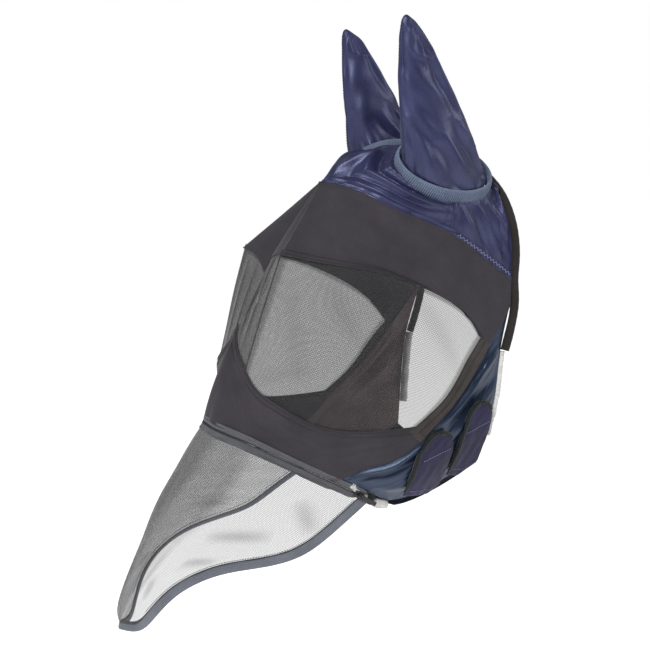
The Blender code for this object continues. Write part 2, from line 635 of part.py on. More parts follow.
def zip_pull(pivot, across, slider_axis):
    """The pull hangs straight down, as far as its hinge across the zip lets it. Its top bar
    lies in the slider's arch."""
    down = np.array((0, 0, -1.0))
    hang = unit(down - across * (down @ across))
    turn = turned(hang, across, np.cross(hang, across))
    axis = axis_empty("zip_pull_axis", pivot)
    axis.parent = slider_axis
    axis.matrix_parent_inverse = slider_axis.matrix_world.inverted()
    bpy.context.view_layer.update()
    pull = block("zip_pull", PULL, pivot + hang * (PULL[0] - PULL_BAR) / 2, turn, "slider", axis,
                 FINE_EDGE)
    hole = block("hole", (*PULL_HOLE, 2 * PULL[2]), pivot + hang * (PULL_BAR + PULL_HOLE[0]) / 2,
                 turn, "slider", rounding=HOLE_EDGE)
    combined(pull, hole, "DIFFERENCE")


def nose_cover(cover):
    half = COVER.grid(13, 15, (ZIP_TAPE_END + TAPE_GAP, COVER_TIP_INSET, 0,
                               COVER_BINDING / 2 + SEAM_GAP))
    half[:, 0, 0] = 0
    cloth("nose_cover", across_face(half), "mesh", parent=cover)
    edge, middle = smooth_line(COVER_EDGE, 31)[1:], smooth_line(MIDLINE_COVER, 31)[1:]
    goal = np.minimum(np.arange(len(middle)), TIP_GOAL)
    tangent = np.gradient(edge, axis=0)
    tangent /= np.linalg.norm(tangent, axis=1, keepdims=True)
    inward = middle[goal] - edge
    inward -= tangent * np.sum(inward * tangent, axis=1, keepdims=True)
    inward[-1] = TIP_INWARD
    inward /= np.linalg.norm(inward, axis=1, keepdims=True)
    half = ribbon(edge, inward, -COVER_BINDING / 2, COVER_BINDING / 2)[:, ::-1]
    half[:, 0, 0] = 0
    cloth("cover_binding", across_face(half), "cover_binding", BINDING_WALL, cover)


def rims():
    """Padded binding round the rear opening, and the fleece rims of the jaw panels."""
    left = smooth_line(BINDING_FOOT + [np.array(p) + BINDING_STEP for p in CROWN_REAR])
    roll("rear_binding", np.concatenate((left, on_right(left)[-2::-1])), BINDING_RADIUS,
         "binding", count=44)
    front = smooth_line(FLEECE_FRONT)
    rear = JAW.at(np.full(9, 1.0), np.linspace(0.3, 0.86, 9), -FLEECE_DEPTH) + (0, 0.0015, 0)
    for side, put in SIDES.items():
        roll(f"fleece_front_{side}", put(front), FLEECE_RADIUS, "fleece", count=9)
        roll(f"fleece_rear_{side}", put(rear), FLEECE_RADIUS, "fleece", count=9)


face_panels()
crown()
ears()
closure()
zip_fastener()
rims()
bpy.context.view_layer.update()
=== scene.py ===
# Looks of a horse fly mask in its worn shape: stretch cloth and mesh panels, ear covers,
# a zip-on nose cover, bindings, stitching and closing tabs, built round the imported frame.
# Metres, -Y towards the nose, +X the horse's left, +Z up, origin at the poll.
import math
import bmesh
import bpy
import numpy as np
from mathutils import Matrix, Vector


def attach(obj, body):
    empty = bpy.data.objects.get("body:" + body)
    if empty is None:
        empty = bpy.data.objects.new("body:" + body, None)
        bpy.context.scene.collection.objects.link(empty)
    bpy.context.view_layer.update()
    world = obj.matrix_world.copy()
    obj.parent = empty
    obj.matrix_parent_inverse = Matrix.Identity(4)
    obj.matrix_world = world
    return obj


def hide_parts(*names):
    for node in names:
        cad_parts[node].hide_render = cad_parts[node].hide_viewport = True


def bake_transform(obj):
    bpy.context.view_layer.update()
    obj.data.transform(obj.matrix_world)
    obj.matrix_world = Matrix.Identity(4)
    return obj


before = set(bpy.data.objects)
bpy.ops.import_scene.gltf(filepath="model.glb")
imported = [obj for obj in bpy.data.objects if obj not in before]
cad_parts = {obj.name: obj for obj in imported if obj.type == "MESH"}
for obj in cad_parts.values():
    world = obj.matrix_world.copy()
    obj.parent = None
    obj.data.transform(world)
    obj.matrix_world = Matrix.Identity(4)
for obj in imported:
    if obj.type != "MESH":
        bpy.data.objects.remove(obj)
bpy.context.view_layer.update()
mm = 0.001

# corners that several panels share, on the midline or on the left side
apex, kiteCorner, kiteTip = (0, -0.115, -0.026), (0.046, -0.182, -0.092), (0, -0.178, -0.123)
peak, creaseFoot = (0, -0.213, -0.174), (0.036, -0.219, -0.211)
zipFront, zipEnd = (0, -0.246, -0.271), (0.066, -0.096, -0.354)
jawFront, jawStart, jawToe = (0.0585, -0.132, -0.333), (0.063, -0.125, -0.329), (0.0688, -0.0925, -0.3478)
stripTop, stripFoot = (0.095, 0.027, -0.188), (0.099, -0.059, -0.276)
cheekTop, cheekFoot = (0.096, 0.036, -0.196), (0.101, -0.049, -0.286)
hemRear, browRear, hemSide = (0.088, 0.070, -0.128), (0.091, 0.067, -0.157), (0.081, -0.004, -0.078)
pollRear, pollTop = (0, 0.053, -0.001), (0, 0.006, 0.006)
coverTip, jawCorner = (0, -0.346, -0.468), (0.084, 0.038, -0.323)

# seam lines on the left side, front to rear or top to bottom
seam = {
    "kiteEdge": [apex, (0.022, -0.146, -0.058), kiteCorner],
    "kiteFoot": [kiteTip, (0.010, -0.179, -0.105), (0.026, -0.181, -0.096), kiteCorner],
    "hemFront": [apex, (0.022, -0.099, -0.029), (0.042, -0.081, -0.038), (0.060, -0.056, -0.053),
                 hemSide],
    "hemBack": [hemSide, (0.086, 0.028, -0.099), hemRear],
    "browEdge": [kiteCorner, (0.066, -0.140, -0.102), (0.084, -0.093, -0.112),
                 (0.095, -0.028, -0.139), (0.097, 0.007, -0.162), stripTop],
    "crease": [kiteCorner, (0.043, -0.197, -0.137), (0.039, -0.208, -0.174), creaseFoot],
    "peakEdge": [peak, (0.009, -0.217, -0.190), (0.024, -0.219, -0.202), creaseFoot],
    "noseTop": [creaseFoot, (0.050, -0.212, -0.229), (0.066, -0.193, -0.246),
                (0.080, -0.161, -0.265), (0.092, -0.117, -0.274), stripFoot],
    "zipFace": [zipFront, (0.018, -0.244, -0.272), (0.034, -0.228, -0.279),
                (0.044, -0.207, -0.290), jawFront],
    "stripFront": [stripTop, (0.099, 0.006, -0.212), (0.101, -0.019, -0.245), stripFoot],
    "stripRear": [cheekTop, (0.099, 0.015, -0.224), (0.101, -0.010, -0.252), cheekFoot],
    "jawSeam": [jawStart, (0.076, -0.104, -0.316), (0.089, -0.080, -0.308), cheekFoot],
    "browBack": [cheekTop, (0.095, 0.052, -0.176), browRear],
    "jawBottom": [jawToe, (0.0675, -0.074, -0.3595), (0.070, -0.053, -0.3615),
                  (0.076, -0.009, -0.348), jawCorner],
    "jawRear": [browRear, (0.094, 0.054, -0.205), (0.094, 0.048, -0.258), jawCorner],
    "crownRear": [hemRear, (0.086, 0.072, -0.098), (0.078, 0.069, -0.060), (0.062, 0.066, -0.036),
                  (0.036, 0.0615, -0.016), pollRear],
    "middleBrow": [apex, (0, -0.146, -0.070), kiteTip],
    "middleFace": [kiteTip, (0, -0.196, -0.148), peak],
    "middleNose": [peak, (0, -0.232, -0.222), zipFront],
    "middleCover": [zipFront, (0, -0.279, -0.317), (0, -0.308, -0.366), (0, -0.328, -0.409),
                    (0, -0.347, -0.448), coverTip],
    "coverEdge": [zipEnd, (0.070, -0.138, -0.378), (0.070, -0.171, -0.395), (0.068, -0.203, -0.401),
                  (0.061, -0.236, -0.403), (0.052, -0.267, -0.408), (0.040, -0.300, -0.425),
                  (0.026, -0.320, -0.451), (0.012, -0.332, -0.468), coverTip],
    "middleCrown": [pollTop, (0, -0.045, 0.006), (0, -0.079, 0.003), (0, -0.102, -0.012), apex],
    "middlePoll": [pollRear, (0, 0.031, 0.004), pollTop],
}
head = {"inside": (0, -0.02, -0.16), "rightDrop": 12 * mm, "dropHeight": -0.17, "dropReach": 0.09,
        "dropWidth": 0.095}
sides = ("left", "right")


# points, lines and grids

def smoothLine(points, count=121):
    # natural cubic spline through the points, read at even steps of its length
    p = np.array(points, float)
    span = np.sqrt(np.linalg.norm(np.diff(p, axis=0), axis=1))
    knot = np.concatenate(([0], np.cumsum(span)))
    last = len(p) - 1
    system, right = np.eye(last + 1), np.zeros((last + 1, 3))
    for i in range(1, last):
        system[i, i - 1:i + 2] = span[i - 1], 2 * (span[i - 1] + span[i]), span[i]
        right[i] = 6 * ((p[i + 1] - p[i]) / span[i] - (p[i] - p[i - 1]) / span[i - 1])
    bend = np.linalg.solve(system, right)
    t = np.linspace(0, knot[-1], 40 * last + 1)
    k = np.clip(np.searchsorted(knot, t, side="right") - 1, 0, last - 1)
    h, a, b = span[k][:, None], (knot[k + 1] - t)[:, None], (t - knot[k])[:, None]
    fine = ((bend[k] * a ** 3 + bend[k + 1] * b ** 3) / (6 * h)
            + (p[k] / h - bend[k] * h / 6) * a + (p[k + 1] / h - bend[k + 1] * h / 6) * b)
    return evenly(fine, count)


def lineLength(line):
    # the sum of the line's steps
    return np.linalg.norm(np.diff(line, axis=0), axis=-1).sum()


def evenly(line, count):
    # the same line read at even steps of its length
    reach = np.concatenate(([0], np.cumsum(np.linalg.norm(np.diff(line, axis=0), axis=1))))
    at = np.linspace(0, reach[-1], count)
    return np.stack([np.interp(at, reach, line[:, i]) for i in range(3)], -1)


def spread(values, count):
    # rows of values read at even shares of the list
    share, own = np.linspace(0, 1, count), np.linspace(0, 1, len(values))
    return np.stack([np.interp(share, own, values[:, i]) for i in range(3)], -1)


def joined(*lines):
    # lines laid end to end, with a corner kept where two meet
    runs = [smoothLine(line) for line in lines]
    return evenly(np.concatenate([runs[0]] + [run[1:] for run in runs[1:]]), 241)


def readLine(line, share):
    # points between a line's own, in proportion; beyond its ends it goes straight on
    at = np.asarray(share, float) * (len(line) - 1)
    first = np.clip(np.floor(at), 0, len(line) - 2).astype(int)
    part = (at - first)[..., None]
    return line[first] * (1 - part) + line[first + 1] * part


def pointLine(at):
    return np.repeat(np.array([at], float), 2, axis=0)


def onRight(points):
    # the mirror image, with the right cheek lowered by a bell curve of height and by x squared
    q = np.array(points, float) * (-1, 1, 1)
    bell = np.exp(-((q[..., 2] - head["dropHeight"]) / head["dropReach"]) ** 2 / 2)
    q[..., 2] -= head["rightDrop"] * (q[..., 0] / head["dropWidth"]) ** 2 * bell
    return q


def toSide(points, side):
    return points if side == "left" else onRight(points)


def unit(vectors):
    v = np.array(vectors, float)
    return v / np.maximum(np.linalg.norm(v, axis=-1, keepdims=True), 1e-9)


def smoothStep(x, low, high):
    t = np.clip((x - low) / (high - low), 0, 1)
    return t * t * (3 - 2 * t)


def coons(panel, u, v):
    # Coons patch: the two pairs of opposite edges blended, less the corners counted twice
    u3, v3 = u[..., None], v[..., None]
    top, bottom = panel["top"], panel["bottom"]
    corners = ((1 - u3) * (1 - v3) * top[0] + u3 * (1 - v3) * top[-1]
               + (1 - u3) * v3 * bottom[0] + u3 * v3 * bottom[-1])
    return ((1 - v3) * readLine(top, u) + v3 * readLine(bottom, u)
            + (1 - u3) * readLine(panel["front"], v) + u3 * readLine(panel["rear"], v) - corners)


def scaledSections(panel, u, v):
    # each section is the top edge's own curve, scaled to fit between the front and rear edges
    u3 = u[..., None]
    start, end = readLine(panel["front"], v), readLine(panel["rear"], v)
    chord = panel["top"][-1] - panel["top"][0]
    curve = readLine(panel["top"], u) - panel["top"][0] - u3 * chord
    scale = np.linalg.norm(end - start, axis=-1, keepdims=True) / np.linalg.norm(chord)
    return start + (end - start) * u3 + curve * scale


def gridNormals(grid, inside=None, closed=False):
    # cross product of the steps along and across, all turned the same way, out from a point
    if closed:
        across = np.roll(grid, -1, axis=1) - np.roll(grid, 1, axis=1)
    else:
        across = np.gradient(grid, axis=1)
    normal = unit(np.cross(across, np.gradient(grid, axis=0)))
    middle = np.array(head["inside"] if inside is None else inside)
    return normal if np.sum(normal * (grid - middle)) > 0 else -normal


def panelGrid(panel, u, v, lift=0.0):
    # the patch, swollen along its normals by its bulge and by a lift
    grid = panel.get("shape", coons)(panel, u, v)
    swell = panel.get("bulge", 0) * 4 * np.sin(math.pi * np.clip(u, 0, 1)) * v * (1 - v) + lift
    return grid + gridNormals(grid) * swell[..., None]


def squareReach(edge, other, share):
    # how far the other edge lies from this one, measured square to it
    tangent = unit(readLine(edge, share + 0.01) - readLine(edge, share - 0.01))
    chord = readLine(other, share) - readLine(edge, share)
    chord = chord - tangent * np.sum(chord * tangent, axis=-1, keepdims=True)
    return np.maximum(np.linalg.norm(chord, axis=-1), 8 * mm)


def insetShares(panel, columns, rows, inset, band=None):
    # shares u and v of a grid whose outer lines lie at set distances from the panel's edges
    top, bottom, front, rear = inset
    down, along = np.linspace(0, 1, rows)[:, None], np.linspace(0, 1, columns)
    first = front / squareReach(panel["front"], panel["rear"], down)
    last = 1 - rear / squareReach(panel["rear"], panel["front"], down)
    u = first + (last - first) * along
    bottom = bottom(u) if callable(bottom) else bottom
    belowTop = squareReach(panel["top"], panel["bottom"], u)
    aboveBottom = squareReach(panel["bottom"], panel["top"], u)
    first, last = top / belowTop, 1 - bottom / aboveBottom
    if band and band[0] > 0:
        first, last = band[0] / belowTop, band[1] / belowTop
    elif band:
        first, last = 1 + band[0] / aboveBottom, 1 + band[1] / aboveBottom
    return u, first + (last - first) * down


zipRun = [jawFront, zipEnd]
panels = {
    "brow": {"top": smoothLine(seam["hemFront"] + seam["hemBack"][1:]),
             "bottom": smoothLine(seam["browEdge"]), "front": smoothLine(seam["kiteEdge"]),
             "rear": joined([hemRear, browRear], seam["browBack"][::-1], [cheekTop, stripTop]),
             "bulge": 3 * mm},
    "kite": {"top": pointLine(apex), "bottom": smoothLine(seam["kiteFoot"]),
             "front": smoothLine(seam["middleBrow"]), "rear": smoothLine(seam["kiteEdge"])},
    "face": {"top": smoothLine(seam["kiteFoot"]), "bottom": smoothLine(seam["peakEdge"]),
             "front": smoothLine(seam["middleFace"]), "rear": smoothLine(seam["crease"])},
    "eye": {"top": smoothLine(seam["browEdge"]), "bottom": smoothLine(seam["noseTop"]),
            "front": smoothLine(seam["crease"]), "rear": smoothLine(seam["stripFront"]),
            "bulge": 7 * mm},
    "strip": {"top": smoothLine([stripTop, cheekTop]), "bottom": smoothLine([stripFoot, cheekFoot]),
              "front": smoothLine(seam["stripFront"]), "rear": smoothLine(seam["stripRear"])},
    "nose": {"top": joined(seam["peakEdge"], seam["noseTop"]),
             "bottom": joined(seam["zipFace"], [jawFront] + seam["jawSeam"]),
             "front": smoothLine(seam["middleNose"]), "rear": smoothLine([stripFoot, cheekFoot])},
    "jaw": {"top": joined(seam["jawSeam"], seam["stripRear"][::-1], seam["browBack"]),
            "bottom": smoothLine(seam["jawBottom"]), "front": smoothLine([jawStart, jawToe]),
            "rear": smoothLine(seam["jawRear"]), "bulge": 4 * mm},
    "cover": {"top": joined(seam["zipFace"], zipRun), "bottom": pointLine(coverTip),
              "front": smoothLine(seam["middleCover"]), "rear": smoothLine(seam["coverEdge"]),
              "shape": scaledSections},
}
panels["aboveZip"] = {"top": panels["nose"]["top"], "bottom": panels["cover"]["top"],
                      "front": panels["nose"]["front"], "rear": smoothLine([stripFoot, zipEnd])}


# relief: heights in metres over a grid's own width x and depth y, in metres

def ridge(x, y, start, end, width, height):
    # a bell-shaped fold along a segment, fading towards both its ends
    (x0, y0), (x1, y1) = start, end
    dx, dy = x1 - x0, y1 - y0
    length = math.hypot(dx, dy)
    along = ((x - x0) * dx + (y - y0) * dy) / length ** 2
    beside = ((x - x0) * dy - (y - y0) * dx) / length
    fade = np.sin(math.pi * np.clip(along, 0, 1)) ** 0.7
    return height * np.exp(-(beside / width) ** 2) * fade


def crumple(x, y, size, height, seed, stretch=1.0):
    # eight sine waves at spread headings, with wavelengths round a size, drawn out along x
    draw = np.random.default_rng(seed)
    heading, phase = draw.uniform(0, 2 * math.pi, 8), draw.uniform(0, 2 * math.pi, 8)
    wave = 2 * math.pi / (size * draw.uniform(0.7, 1.5, 8))
    total = sum(np.sin(k * (x / stretch * math.cos(a) + y * math.sin(a)) + p)
                for k, a, p in zip(wave, heading, phase))
    return total * height / 3


def creases(x, y, size, height, seed, stretch=1.0):
    # sharp-topped folds: one minus the size of a crumple, squared
    wave = crumple(x, y, size, 1.0, seed, stretch)
    return height * (1 - np.minimum(np.abs(wave) * 1.6, 1)) ** 2


# materials

def linear(hexColour):
    # sRGB hex to linear light
    value = [int(hexColour[i:i + 2], 16) / 255 for i in (1, 3, 5)]
    return [c / 12.92 if c <= 0.04045 else ((c + 0.055) / 1.055) ** 2.4 for c in value] + [1.0]


def addNode(tree, kind, settings=None, links=None):
    # one node with its properties or input values set and its inputs linked
    node = tree.nodes.new(kind)
    for key, value in (settings or {}).items():
        if isinstance(key, str) and hasattr(node, key):
            setattr(node, key, value)
        else:
            node.inputs[key].default_value = value
    for key, source in (links or {}).items():
        tree.links.new(source, node.inputs[key])
    return node


def newMaterial(name):
    made = bpy.data.materials.new(name)
    made.use_nodes = True
    tree = made.node_tree
    tree.nodes.clear()
    output = tree.nodes.new("ShaderNodeOutputMaterial")
    return made, tree, output


def clothMaterial(name, look):
    # threads: two crossed sine waves as bump; colour drifts between two shades over centimetres
    made, tree, output = newMaterial(name)
    uv = addNode(tree, "ShaderNodeUVMap", {"uv_map": "cloth"}).outputs[0]
    place = addNode(tree, "ShaderNodeTexCoord").outputs["Object"]
    pitch = look["thread"] * mm
    threads = []
    for axis, ratio in (("X", 1.0), ("Y", look.get("aspect", 1.0))):
        scale = 2 * math.pi / (pitch * ratio) / 20
        threads.append(addNode(tree, "ShaderNodeTexWave",
                               {"bands_direction": axis, "Scale": scale, "Detail": 1.0,
                                "Distortion": look.get("wander", 0.4)}, {"Vector": uv}).outputs["Fac"])
    weave = addNode(tree, "ShaderNodeMath", {"operation": "MULTIPLY"},
                    {0: threads[0], 1: threads[1]}).outputs[0]
    drift = addNode(tree, "ShaderNodeTexNoise", {"Scale": 28.0, "Detail": 4.0, "Roughness": 0.6},
                    {"Vector": place}).outputs["Fac"]
    mottle = addNode(tree, "ShaderNodeTexNoise", {"Scale": 420.0, "Detail": 2.0},
                     {"Vector": place}).outputs["Fac"]
    mixed = addNode(tree, "ShaderNodeMath", {"operation": "MULTIPLY_ADD", 1: 0.45},
                    {0: mottle, 2: drift}).outputs[0]
    share = addNode(tree, "ShaderNodeMapRange", {"From Min": 0.5, "From Max": 1.0},
                    {"Value": mixed}).outputs[0]
    tone = addNode(tree, "ShaderNodeMix", {"data_type": "RGBA"}, {0: share})
    tone.inputs["A"].default_value = linear(look["shade"])
    tone.inputs["B"].default_value = linear(look["colour"])
    deep = addNode(tree, "ShaderNodeMapRange", {"To Min": 1 - look.get("contrast", 0.2), "To Max": 1.0},
                   {"Value": weave}).outputs[0]
    colour = addNode(tree, "ShaderNodeVectorMath", {"operation": "SCALE"},
                     {0: tone.outputs["Result"], "Scale": deep}).outputs[0]
    bump = addNode(tree, "ShaderNodeBump", {"Strength": look["bump"], "Distance": 0.25 * mm},
                   {"Height": weave}).outputs[0]
    shader = addNode(tree, "ShaderNodeBsdfPrincipled",
                     {"Roughness": look["roughness"], "Sheen Weight": look["sheen"], "Sheen Roughness": 0.4,
                      "Specular IOR Level": look.get("specular", 0.35)},
                     {"Base Color": colour, "Normal": bump})
    if "gleam" in look:
        shader.inputs["Sheen Tint"].default_value = linear(look["gleam"])
        shader.inputs["Specular Tint"].default_value = linear(look["gleam"])
    tree.links.new(shader.outputs[0], output.inputs[0])
    return made


def meshMaterial(name, look):
    # alpha is high on crossed threads and low in the holes, and rises with the mesh's set density and with
    # painted shade on its folds and dents
    made, tree, output = newMaterial(name)
    uv = addNode(tree, "ShaderNodeUVMap", {"uv_map": "cloth"}).outputs[0]
    scale = 2 * math.pi / (look["thread"] * mm) / 20
    threads = [addNode(tree, "ShaderNodeTexWave",
                       {"bands_direction": axis, "Scale": scale, "Distortion": 0.25, "Detail": 1.0},
                       {"Vector": uv}).outputs["Fac"] for axis in ("X", "Y")]
    thread = addNode(tree, "ShaderNodeMath", {"operation": "MAXIMUM"},
                     {0: threads[0], 1: threads[1]}).outputs[0]
    cover = addNode(tree, "ShaderNodeMapRange",
                    {"From Min": 0.3, "From Max": 0.95, "To Min": look["hole"], "To Max": look["strand"]},
                    {"Value": thread}).outputs[0]
    # painted shade: the mesh is made more opaque, so darker, on its folds and dents
    densityAndShade = addNode(tree, "ShaderNodeAttribute", {"attribute_name": "densityAndFoldShade"}).outputs["Fac"]
    alpha = addNode(tree, "ShaderNodeMath", {"operation": "ADD", "use_clamp": True},
                    {0: cover, 1: densityAndShade}).outputs[0]
    place = addNode(tree, "ShaderNodeTexCoord").outputs["Object"]
    drift = addNode(tree, "ShaderNodeTexNoise", {"Scale": 18.0, "Detail": 3.0},
                    {"Vector": place}).outputs["Fac"]
    tone = addNode(tree, "ShaderNodeMix", {"data_type": "RGBA"}, {0: drift})
    tone.inputs["A"].default_value = linear(look["shade"])
    tone.inputs["B"].default_value = linear(look["colour"])
    bump = addNode(tree, "ShaderNodeBump", {"Strength": 0.3, "Distance": 0.2 * mm},
                   {"Height": thread}).outputs[0]
    shader = addNode(tree, "ShaderNodeBsdfPrincipled", {"Roughness": 0.65, "Sheen Weight": 0.25},
                     {"Base Color": tone.outputs["Result"], "Alpha": alpha, "Normal": bump})
    tree.links.new(shader.outputs[0], output.inputs[0])
    return made


def plainMaterial(name, look):
    # moulded or painted: an even colour with a fine grain in its bump
    made, tree, output = newMaterial(name)
    place = addNode(tree, "ShaderNodeTexCoord").outputs["Object"]
    grain = addNode(tree, "ShaderNodeTexNoise", {"Scale": 1 / (look["grain"] * mm), "Detail": 3.0},
                    {"Vector": place}).outputs["Fac"]
    tone = addNode(tree, "ShaderNodeMix", {"data_type": "RGBA"}, {0: grain})
    tone.inputs["A"].default_value = linear(look["shade"])
    tone.inputs["B"].default_value = linear(look["colour"])
    bump = addNode(tree, "ShaderNodeBump", {"Strength": look["bump"], "Distance": 0.3 * mm},
                   {"Height": grain}).outputs[0]
    shader = addNode(tree, "ShaderNodeBsdfPrincipled",
                     {"Roughness": look["roughness"], "Metallic": look.get("metallic", 0.0),
                      "Sheen Weight": look.get("sheen", 0.0)},
                     {"Base Color": tone.outputs["Result"], "Normal": bump})
    tree.links.new(shader.outputs[0], output.inputs[0])
    return made


clothLooks = {
    # polyester spandex with a satin face: soft bright folds and a fine sheen
    "satinLycra": {"colour": "#2f3154", "shade": "#1b1d36", "gleam": "#b4b8e0", "thread": 1.3,
        "aspect": 0.7, "bump": 0.25, "roughness": 0.34, "sheen": 0.12, "specular": 0.9, "contrast": 0.12},
    # the same knit in steel blue, a little glossier
    "jawLycra": {"colour": "#18263b", "shade": "#0e1a29", "gleam": "#b0bede", "thread": 1.3, "aspect": 0.7,
        "bump": 0.2, "roughness": 0.3, "sheen": 0.1, "specular": 0.9, "contrast": 0.12},
    # the tricot lining inside the jaw panels: brown-grey and dull
    "jawLining": {"colour": "#7d6b6c", "shade": "#5f5152", "thread": 1.4, "bump": 0.2, "roughness": 0.85,
        "sheen": 0.15},
    # bonded soft-shell polyester: near black, matt, with a faint even weave
    "softShell": {"colour": "#3b373d", "shade": "#2f2c31", "thread": 1.2, "bump": 0.25, "roughness": 0.8,
        "sheen": 0.12, "specular": 0.25, "contrast": 0.15},
    # woven tape, brown-black and matt
    "stripWebbing": {"colour": "#4b4442", "shade": "#37322f", "thread": 1.6, "aspect": 0.6, "bump": 0.5,
        "roughness": 0.85, "sheen": 0.15, "contrast": 0.35},
    # brushed elastic in a grey blue, with its ribs in the geometry
    "ribbedElastic": {"colour": "#75839c", "shade": "#5c6982", "thread": 1.7, "aspect": 0.55, "bump": 0.6,
        "roughness": 0.9, "sheen": 0.3, "contrast": 0.35, "wander": 1.6},
    # folded tape in mid grey
    "greyBinding": {"colour": "#7c808a", "shade": "#666a73", "thread": 1.4, "aspect": 0.6, "bump": 0.5,
        "roughness": 0.85, "sheen": 0.25, "contrast": 0.3},
    # a foam roll in brown-black cloth
    "paddedBinding": {"colour": "#26211e", "shade": "#191614", "thread": 1.3, "bump": 0.4, "roughness": 0.8,
        "sheen": 0.15},
    # dense purple cloth over the tabs
    "tabCloth": {"colour": "#231c49", "shade": "#171331", "thread": 1.2, "bump": 0.4, "roughness": 0.6,
        "sheen": 0.06, "specular": 0.25, "contrast": 0.3},
    # narrow greenish-black tape
    "tabEdging": {"colour": "#171b1c", "shade": "#0e1112", "thread": 1.1, "bump": 0.5, "roughness": 0.85,
        "sheen": 0.2},
    # looped pile, dull and dark green
    "loopTape": {"colour": "#1d2a2a", "shade": "#131b1c", "thread": 0.9, "bump": 0.8, "roughness": 0.95,
        "sheen": 0.5, "wander": 3.0},
    # moulded nylon hooks, black
    "hookTape": {"colour": "#1a1a1d", "shade": "#101012", "thread": 1.4, "bump": 1.0, "roughness": 0.5,
        "sheen": 0.0},
    # herringbone tape in mid grey
    "zipTape": {"colour": "#6a6b70", "shade": "#56575b", "thread": 1.3, "aspect": 0.6, "bump": 0.6,
        "roughness": 0.85, "sheen": 0.15, "contrast": 0.3},
    # thin grey cord in cloth
    "piping": {"colour": "#6c6866", "shade": "#55514f", "thread": 0.9, "bump": 0.3, "roughness": 0.75,
        "sheen": 0.2},
}
meshLooks = {
    # knitted polyester fly mesh, dark and sheer; its threads are drawn at a 1.9 mm pitch,
    # coarser than the knit's own, so that they show
    "flyMesh": {"colour": "#2b2b2d", "shade": "#1f1f21", "thread": 1.9, "hole": 0.12, "strand": 0.38},
}
plainLooks = {
    # short grey-white pile
    "fleece": {"colour": "#dedddb", "shade": "#b9b8b6", "grain": 1.2, "bump": 0.9, "roughness": 1.0,
        "sheen": 0.5},
    # black sewing thread
    "darkThread": {"colour": "#1d1b1e", "shade": "#131214", "grain": 0.4, "bump": 0.2, "roughness": 0.7},
    # navy sewing thread
    "navyThread": {"colour": "#262a4c", "shade": "#1b1e38", "grain": 0.4, "bump": 0.2, "roughness": 0.7},
    # pale purple sewing thread
    "lilacThread": {"colour": "#8d8ab8", "shade": "#706d9c", "grain": 0.4, "bump": 0.2, "roughness": 0.7},
    # smooth dark nylon
    "nylonCoil": {"colour": "#2b2b2e", "shade": "#1f1f22", "grain": 1.0, "bump": 0.05, "roughness": 0.4},
    # grey-black paint on zinc
    "darkEnamel": {"colour": "#3a3a3e", "shade": "#2c2c30", "grain": 2.0, "bump": 0.05, "roughness": 0.35,
        "metallic": 0.7},
}
finish = {}
for build, looks in ((clothMaterial, clothLooks), (meshMaterial, meshLooks), (plainMaterial, plainLooks)):
    for name, look in looks.items():
        finish[name] = build(name, look)
print("materials made")


# making pieces

def gridMesh(name, grid, closed=False, normals=None, densityAndFoldShade=None):
    # quads between the rows and columns of a grid, wound so that they face along the normals
    rows, columns = grid.shape[:2]
    index = np.arange(rows * columns).reshape(rows, columns)
    wide = np.linalg.norm(np.diff(grid, axis=1), axis=-1).sum(1).max()
    deep = np.linalg.norm(np.diff(grid, axis=0), axis=-1).sum(0).max()
    spread = np.linspace(0, wide, columns + (1 if closed else 0))
    across = np.broadcast_to(spread, (rows, len(spread)))
    down = np.broadcast_to(np.linspace(0, deep, rows)[:, None], across.shape)
    uv = np.stack((across, down), -1)
    if closed:
        index = np.concatenate((index, index[:, :1]), axis=1)
    order = (slice(None, -1), slice(None, -1)), (slice(1, None), slice(None, -1)), \
            (slice(1, None), slice(1, None)), (slice(None, -1), slice(1, None))
    faces = np.stack([index[a] for a in order], -1).reshape(-1, 4)
    uvs = np.stack([uv[a] for a in order], -2).reshape(-1, 4, 2)
    points = grid.reshape(-1, 3)
    if normals is not None:
        quad = points[faces]
        facing = np.cross(quad[:, 2] - quad[:, 0], quad[:, 3] - quad[:, 1])
        wanted = normals.reshape(-1, 3)[faces].mean(1)
        if np.sum(facing * wanted) < 0:
            faces, uvs = faces[:, ::-1], uvs[:, ::-1]
    return finishMesh(name, points, faces, uvs, None if densityAndFoldShade is None else densityAndFoldShade.ravel())


def finishMesh(name, points, faces, uvs=None, densityAndFoldShade=None):
    # a smooth-shaded mesh with its cloth map in metres and, for mesh cloth, its density with painted shade on
    # its folds
    mesh = bpy.data.meshes.new(name)
    mesh.from_pydata(points.tolist(), [], faces.tolist())
    if uvs is not None:
        layer = mesh.uv_layers.new(name="cloth")
        layer.data.foreach_set("uv", uvs.astype(np.float32).ravel())
    if densityAndFoldShade is not None:
        mesh.attributes.new("densityAndFoldShade", "FLOAT", "POINT").data.foreach_set("value", densityAndFoldShade.astype(np.float32))
    mesh.polygons.foreach_set("use_smooth", np.ones(len(mesh.polygons), bool))
    mesh.update()
    return mesh


def addPiece(name, mesh, material, body, nodes=(), wall=None, lining=None):
    # an object with its finish, its thickness inwards and its place in the frame
    piece = bpy.data.objects.new(name, mesh)
    bpy.context.scene.collection.objects.link(piece)
    mesh.materials.append(finish[material])
    if lining:
        mesh.materials.append(finish[lining])
    if wall:
        shell = piece.modifiers.new("wall", "SOLIDIFY")
        shell.thickness, shell.offset = wall, -1
        shell.material_offset = 1 if lining else 0
        shell.use_even_offset = False
    if body:
        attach(piece, body)
    if nodes:
        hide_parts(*nodes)
    return piece


def gridSizes(grid):
    # each point's distance along its row and down its column, in metres
    rows = np.linalg.norm(np.diff(grid, axis=1), axis=-1)
    columns = np.linalg.norm(np.diff(grid, axis=0), axis=-1)
    x = np.concatenate((np.zeros((grid.shape[0], 1)), np.cumsum(rows, 1)), 1)
    y = np.concatenate((np.zeros((1, grid.shape[1])), np.cumsum(columns, 0)), 0)
    return x, y


